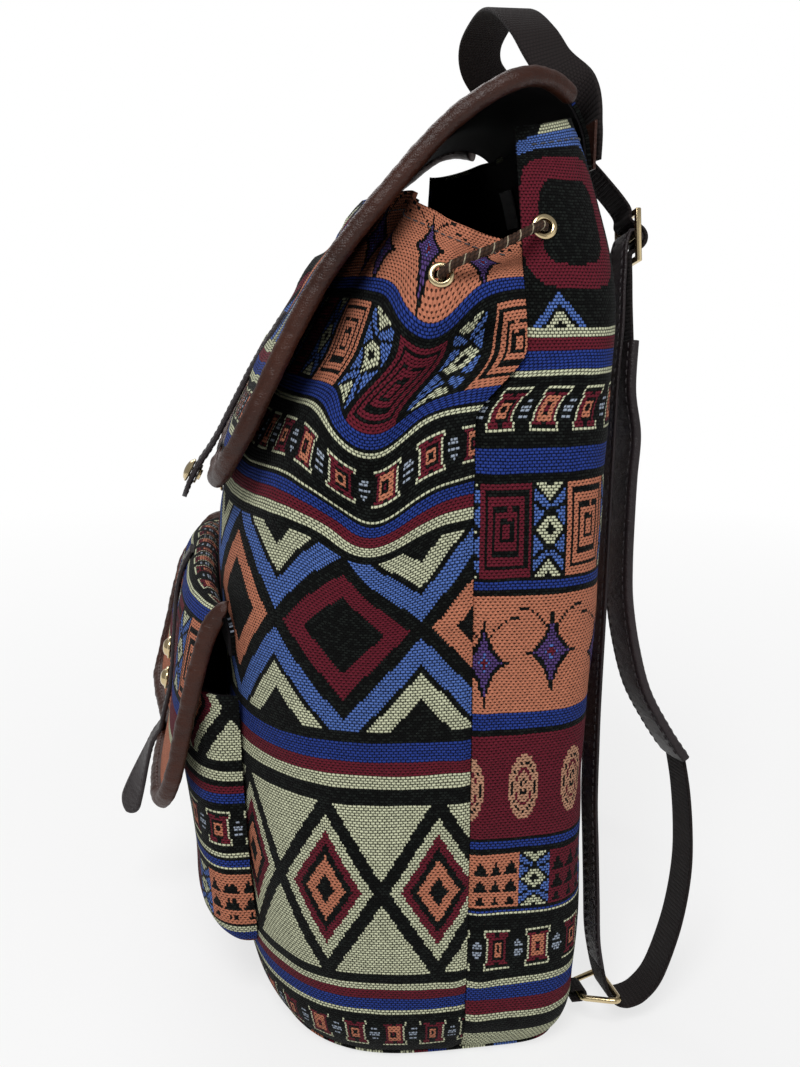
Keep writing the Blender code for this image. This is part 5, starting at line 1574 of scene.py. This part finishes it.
def ring_metal(label, side, w):
    # A wire ring, wide at its webbing and narrow in its tab, with its corners rounded.
    base = strap_points([(RING_Y, RING_Z)], side)[0]
    tab = strap_points([(RING_TAB_Y, RING_TAB_Z)], side)[0]
    corners = [(base + w * 0.0168, 0.005), (base - w * 0.0168, 0.005), (tab - w * 0.0086, 0.0022),
               (tab + w * 0.0086, 0.0022)]
    path = []
    for k in range(4):
        p, r = corners[k]
        after, after_r = corners[(k + 1) % 4]
        q0 = p + unit(corners[k - 1][0] - p) * r
        q1 = p + unit(after - p) * r
        for t in np.linspace(0, 1, 11):
            path.append(q0 * (1 - t) ** 2 + p * 2 * t * (1 - t) + q1 * t * t)
        path.append((q1 + after + unit(p - after) * after_r) / 2)
    ring = "ring_" + label
    sweep("ring_metal_" + label, *tube_frame(path, True), circle(RING_WIRE, 18), GOLD, "gold_metal", ring,
          closed=True, body=ring, sharp=0)


def pad(name, node, pts, across, width, thick):
    # A coated strap, slightly cushioned, with stitches along both edges of both faces.
    c = np.asarray(pts)
    across = unit(np.asarray(across, float))
    ups = np.array([unit(np.cross(d, across)) for d in tangents(c)])
    prof = flat_profile(width, thick, 0.40, 5, 0.0005)
    obj = sweep(name, c, [across] * len(c), ups, prof, STRAP, "strap_trim", node, sharp=55)
    lines = []
    for s in (1, -1):
        for e in (1, -1):
            lines.append((c + across * e * (width / 2 - 0.0030) + ups * s * (thick / 2 + 0.0001), ups * s))
    stitches(name + "_stitches", lines, DARK_THREAD, length=0.0030, gap=0.0012)
    return obj


UPPER = mm((85.6, 416), (85.7, 408), (88.5, 401), (96.5, 392), (104, 383.5))
OVER_SLIDER = at_slider(mm((12.5, -2.6), (8, -2.4), (5.8, 0.2), (4.6, 2.8), (2.6, 4.6), (0, 5.3), (-2.6, 4.6),
                           (-4.6, 2.8), (-5.8, 0.2), (-8, -2.4), (-12.5, -2.6)))
BELOW = [(SLIDER_Y - 0.0026, 0.3460)] + mm((108, 334), (108.2, 318))
PAD_LINE = mm((108.3, 317.6), (106.5, 295), (108.5, 275), (106.5, 256), (105, 238.3), (103.5, 215),
              (103.5, 198), (106.2, 177), (111.5, 156), (121.5, 137), (130, 124))
LOWER = mm((130.3, 123.5), (132.5, 108), (133.5, 90), (133, 72), (130, 54), (125, 37), (117, 19), (109, 10.5),
           (102, 7.8), (97.5, 8.2), (94.5, 9.8), (92.2, 12.5), (90.8, 16), (89.5, 21), (88.5, 26.2))
RETURN = mm((88.4, 26.8), (86.8, 40), (86.8, 60), (86.8, 86), (86.8, 106), (88, 130), (89.5, 154), (93, 198),
            (96, 238.3), (98.5, 270), (101, 300), (103.8, 324))
# The return's way through the slider and its turn round the bar
LOOP_R = 0.0031
ROUND_BAR = mm((-22, -5.8), (-13, -5), (-7, -4.7), (-4, -4.5), (-1.6, -3.8))
for k in range(15):
    ang = math.radians(-70 + 13.5 * k)
    ROUND_BAR.append((LOOP_R * math.cos(ang), LOOP_R * math.sin(ang)))
ROUND_BAR = at_slider(ROUND_BAR)
TAB_R = 0.0026
TAB_BACK_Y = 0.0745
TAB = [(TAB_BACK_Y, RING_TAB_Z + TAB_R)]
for k in range(25):
    ang = math.radians(90 - 7.5 * k)
    TAB.append((RING_TAB_Y + TAB_R * math.cos(ang), RING_TAB_Z + TAB_R * math.sin(ang)))
TAB.append((TAB_BACK_Y, RING_TAB_Z - TAB_R))
for label, side in (("right", 1.0), ("left", -1.0)):
    w = unit(np.array([1.0, 0.0, STRAP_LEAN])) * np.array([side, 1.0, 1.0])
    pts = spline(strap_points(UPPER + OVER_SLIDER + BELOW, side), 150)
    strip("strap_upper_web_" + label, pts, w, WEB_WIDTH, WEB_T, "strap_upper_" + label)
    slider_metal(label)
    pts = spline(strap_points(PAD_LINE, side), 120)
    cushion = pad("strap_pad_cloth_" + label, "strap_pad_" + label, pts, w, PAD_WIDTH, PAD_T)
    strip("strap_web_" + label, spline(strap_points(LOWER, side), 160), w, WEB_WIDTH, WEB_T,
          "strap_webbing_" + label)
    pts = list(spline(strap_points(RETURN + ROUND_BAR[:1], side), 120)) + strap_points(ROUND_BAR[1:], side)
    pad("strap_return_cloth_" + label, "strap_return_" + label, pts, w, WEB_WIDTH, WEB_T)
    ring_metal(label, side, w)
    strip("ring_tab_web_" + label, strap_points(TAB, side), w, 0.0120, 0.0012, "ring_tab_" + label)


# Patch on the back, under the ends of the straps and the handle

def patch_y(x):
    return 0.0846 - 0.0022 * (abs(x) / 0.078) ** 4


patch = np.array([[(x, patch_y(x), z) for x in -0.078 + 0.0039 * np.arange(41)]
                  for z in np.linspace(0.394, 0.414, 11)])
cloth("anchor_patch_cloth", patch, 0.0, -0.0011, patch[:, :, [0, 2]], BROWN, "anchor_patch",
      against(patch, (0, 1, 0)))
lines = []
for z in (0.3958, 0.4122):
    row = [(x, patch_y(x) + 0.0001, z) for x in np.linspace(-0.0765, 0.0765, 60)]
    lines.append((row, [(0.0, 1.0, 0.0)] * len(row)))
stitches("anchor_patch_stitches", lines, BROWN_THREAD)

# Blank label inside the back
lab = np.array([[(x, back_panel_y(x, z) - 0.0037, z) for x in -0.064 + 0.0015 * np.arange(17)]
                for z in 0.3755 + 0.001 * np.arange(21)])
cloth("inner_label_cloth", lab, 0.0, -0.0005, lab[:, :, [0, 2]], LABEL, "inner_label",
      against(lab, (0, 1, 0)))

# Hem stitches along the mouth
lines = []
for grid, flip in ((front, flip_front), (back, flip_back)):
    n = grid_normals(grid, flip)[-5, 4:-4]
    lines.append((grid[-5, 4:-4] + n * 0.0001, n))
stitches("mouth_stitches", lines, PALE_THREAD)


# Floor, light and camera
scene = bpy.context.scene
WHITE = (1.0, 1.0, 1.0, 1.0)


def stage_material():
    # The camera sees the floor nearly white, with the object's shadow in it.
    w = Net("pale_floor")
    path = w.node("LightPath")
    glow = w.node("Emission")
    glow.inputs[0].default_value = WHITE
    glow.inputs[1].default_value = 1.0
    mixer = w.node("MixShader")
    w.bsdf.inputs["Base Color"].default_value = (0.86, 0.86, 0.86, 1.0)
    w.bsdf.inputs["Roughness"].default_value = 0.9
    seen = Val(w, path.outputs["Is Camera Ray"]).mx(Val(w, path.outputs["Is Glossy Ray"]))
    away = w.node("VectorMath", operation="LENGTH")
    w.put(away.inputs[0], w.node("NewGeometry").outputs["Position"])
    far = ((Val(w, away.outputs["Value"]) - 0.30) * 1.1).mx(0.0).mn(1.0)
    for s, value in zip(mixer.inputs, (seen * (far * 0.28 + 0.72), w.bsdf.outputs[0], glow.outputs[0])):
        w.put(s, value)
    w.put(w.out.inputs[0], mixer.outputs[0])
    return w.mat


FLOOR_HALF = 4.0
FLOOR_Z = -0.0008
mesh = bpy.data.meshes.new("floor")
corners = [(x * FLOOR_HALF, y * FLOOR_HALF, FLOOR_Z) for x, y in ((-1, -1), (1, -1), (1, 1), (-1, 1))]
mesh.from_pydata(corners, [], [(0, 1, 2, 3)])
floor = bpy.data.objects.new("floor", mesh)
scene.collection.objects.link(floor)
mesh.materials.append(stage_material())
floor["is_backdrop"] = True

# Soft light from all round, and plain white where the camera sees past the floor
world = bpy.data.worlds.new("soft_world")
scene.world = world
world.use_nodes = True
nt = world.node_tree
nt.nodes.clear()
out = nt.nodes.new("ShaderNodeOutputWorld")
mixer = nt.nodes.new("ShaderNodeMixShader")
path = nt.nodes.new("ShaderNodeLightPath")
nt.links.new(path.outputs["Is Camera Ray"], mixer.inputs[0])
for k, strength in ((1, 0.31), (2, 1.0)):
    background = nt.nodes.new("ShaderNodeBackground")
    background.inputs[0].default_value = WHITE
    background.inputs[1].default_value = strength
    nt.links.new(background.outputs[0], mixer.inputs[k])
nt.links.new(mixer.outputs[0], out.inputs[0])


def place(obj, at, way):
    scene.collection.objects.link(obj)
    obj.location = at
    obj.rotation_mode = "QUATERNION"
    obj.rotation_quaternion = way.to_track_quat("-Z", "Y")


def lamp(name, at, target, size, power):
    data = bpy.data.lights.new(name, "AREA")
    data.shape = "SQUARE"
    data.size = size
    data.energy = power
    place(bpy.data.objects.new(name, data), at, Vector(target) - Vector(at))


lamp("key_light", (1.2, -0.45, 1.8), (0.0, 0.0, 0.2), 0.8, 26.0)
lamp("fill_light", (1.5, 1.3, 0.7), (0.0, 0.0, 0.2), 1.2, 3.0)
lamp("back_light", (-1.5, -0.4, 1.5), (0.0, 0.0, 0.25), 1.0, 12.0)

# The photo's camera: where it stands, its turn about the upright, its tilt and its lens in photo pixels
CAMERA_AT = (0.54, -0.068, 0.345)
CAMERA_TURN = math.radians(82.0)
CAMERA_TILT = math.radians(13.3)
LENS_PIXELS = 1050.0
PHOTO_HEIGHT = 1067.0
cam_data = bpy.data.cameras.new("camera")
cam = bpy.data.objects.new("camera", cam_data)
cam_data.sensor_fit = "AUTO"
cam_data.sensor_width = 36.0
cam_data.lens = LENS_PIXELS / PHOTO_HEIGHT * 36.0
cam_data.clip_start = 0.01
cam_data.clip_end = 50.0
place(cam, CAMERA_AT, Vector((-math.sin(CAMERA_TURN) * math.cos(CAMERA_TILT),
                              math.cos(CAMERA_TURN) * math.cos(CAMERA_TILT), -math.sin(CAMERA_TILT))))
scene.camera = cam
scene.view_settings.view_transform = "Standard"

lo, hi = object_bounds()
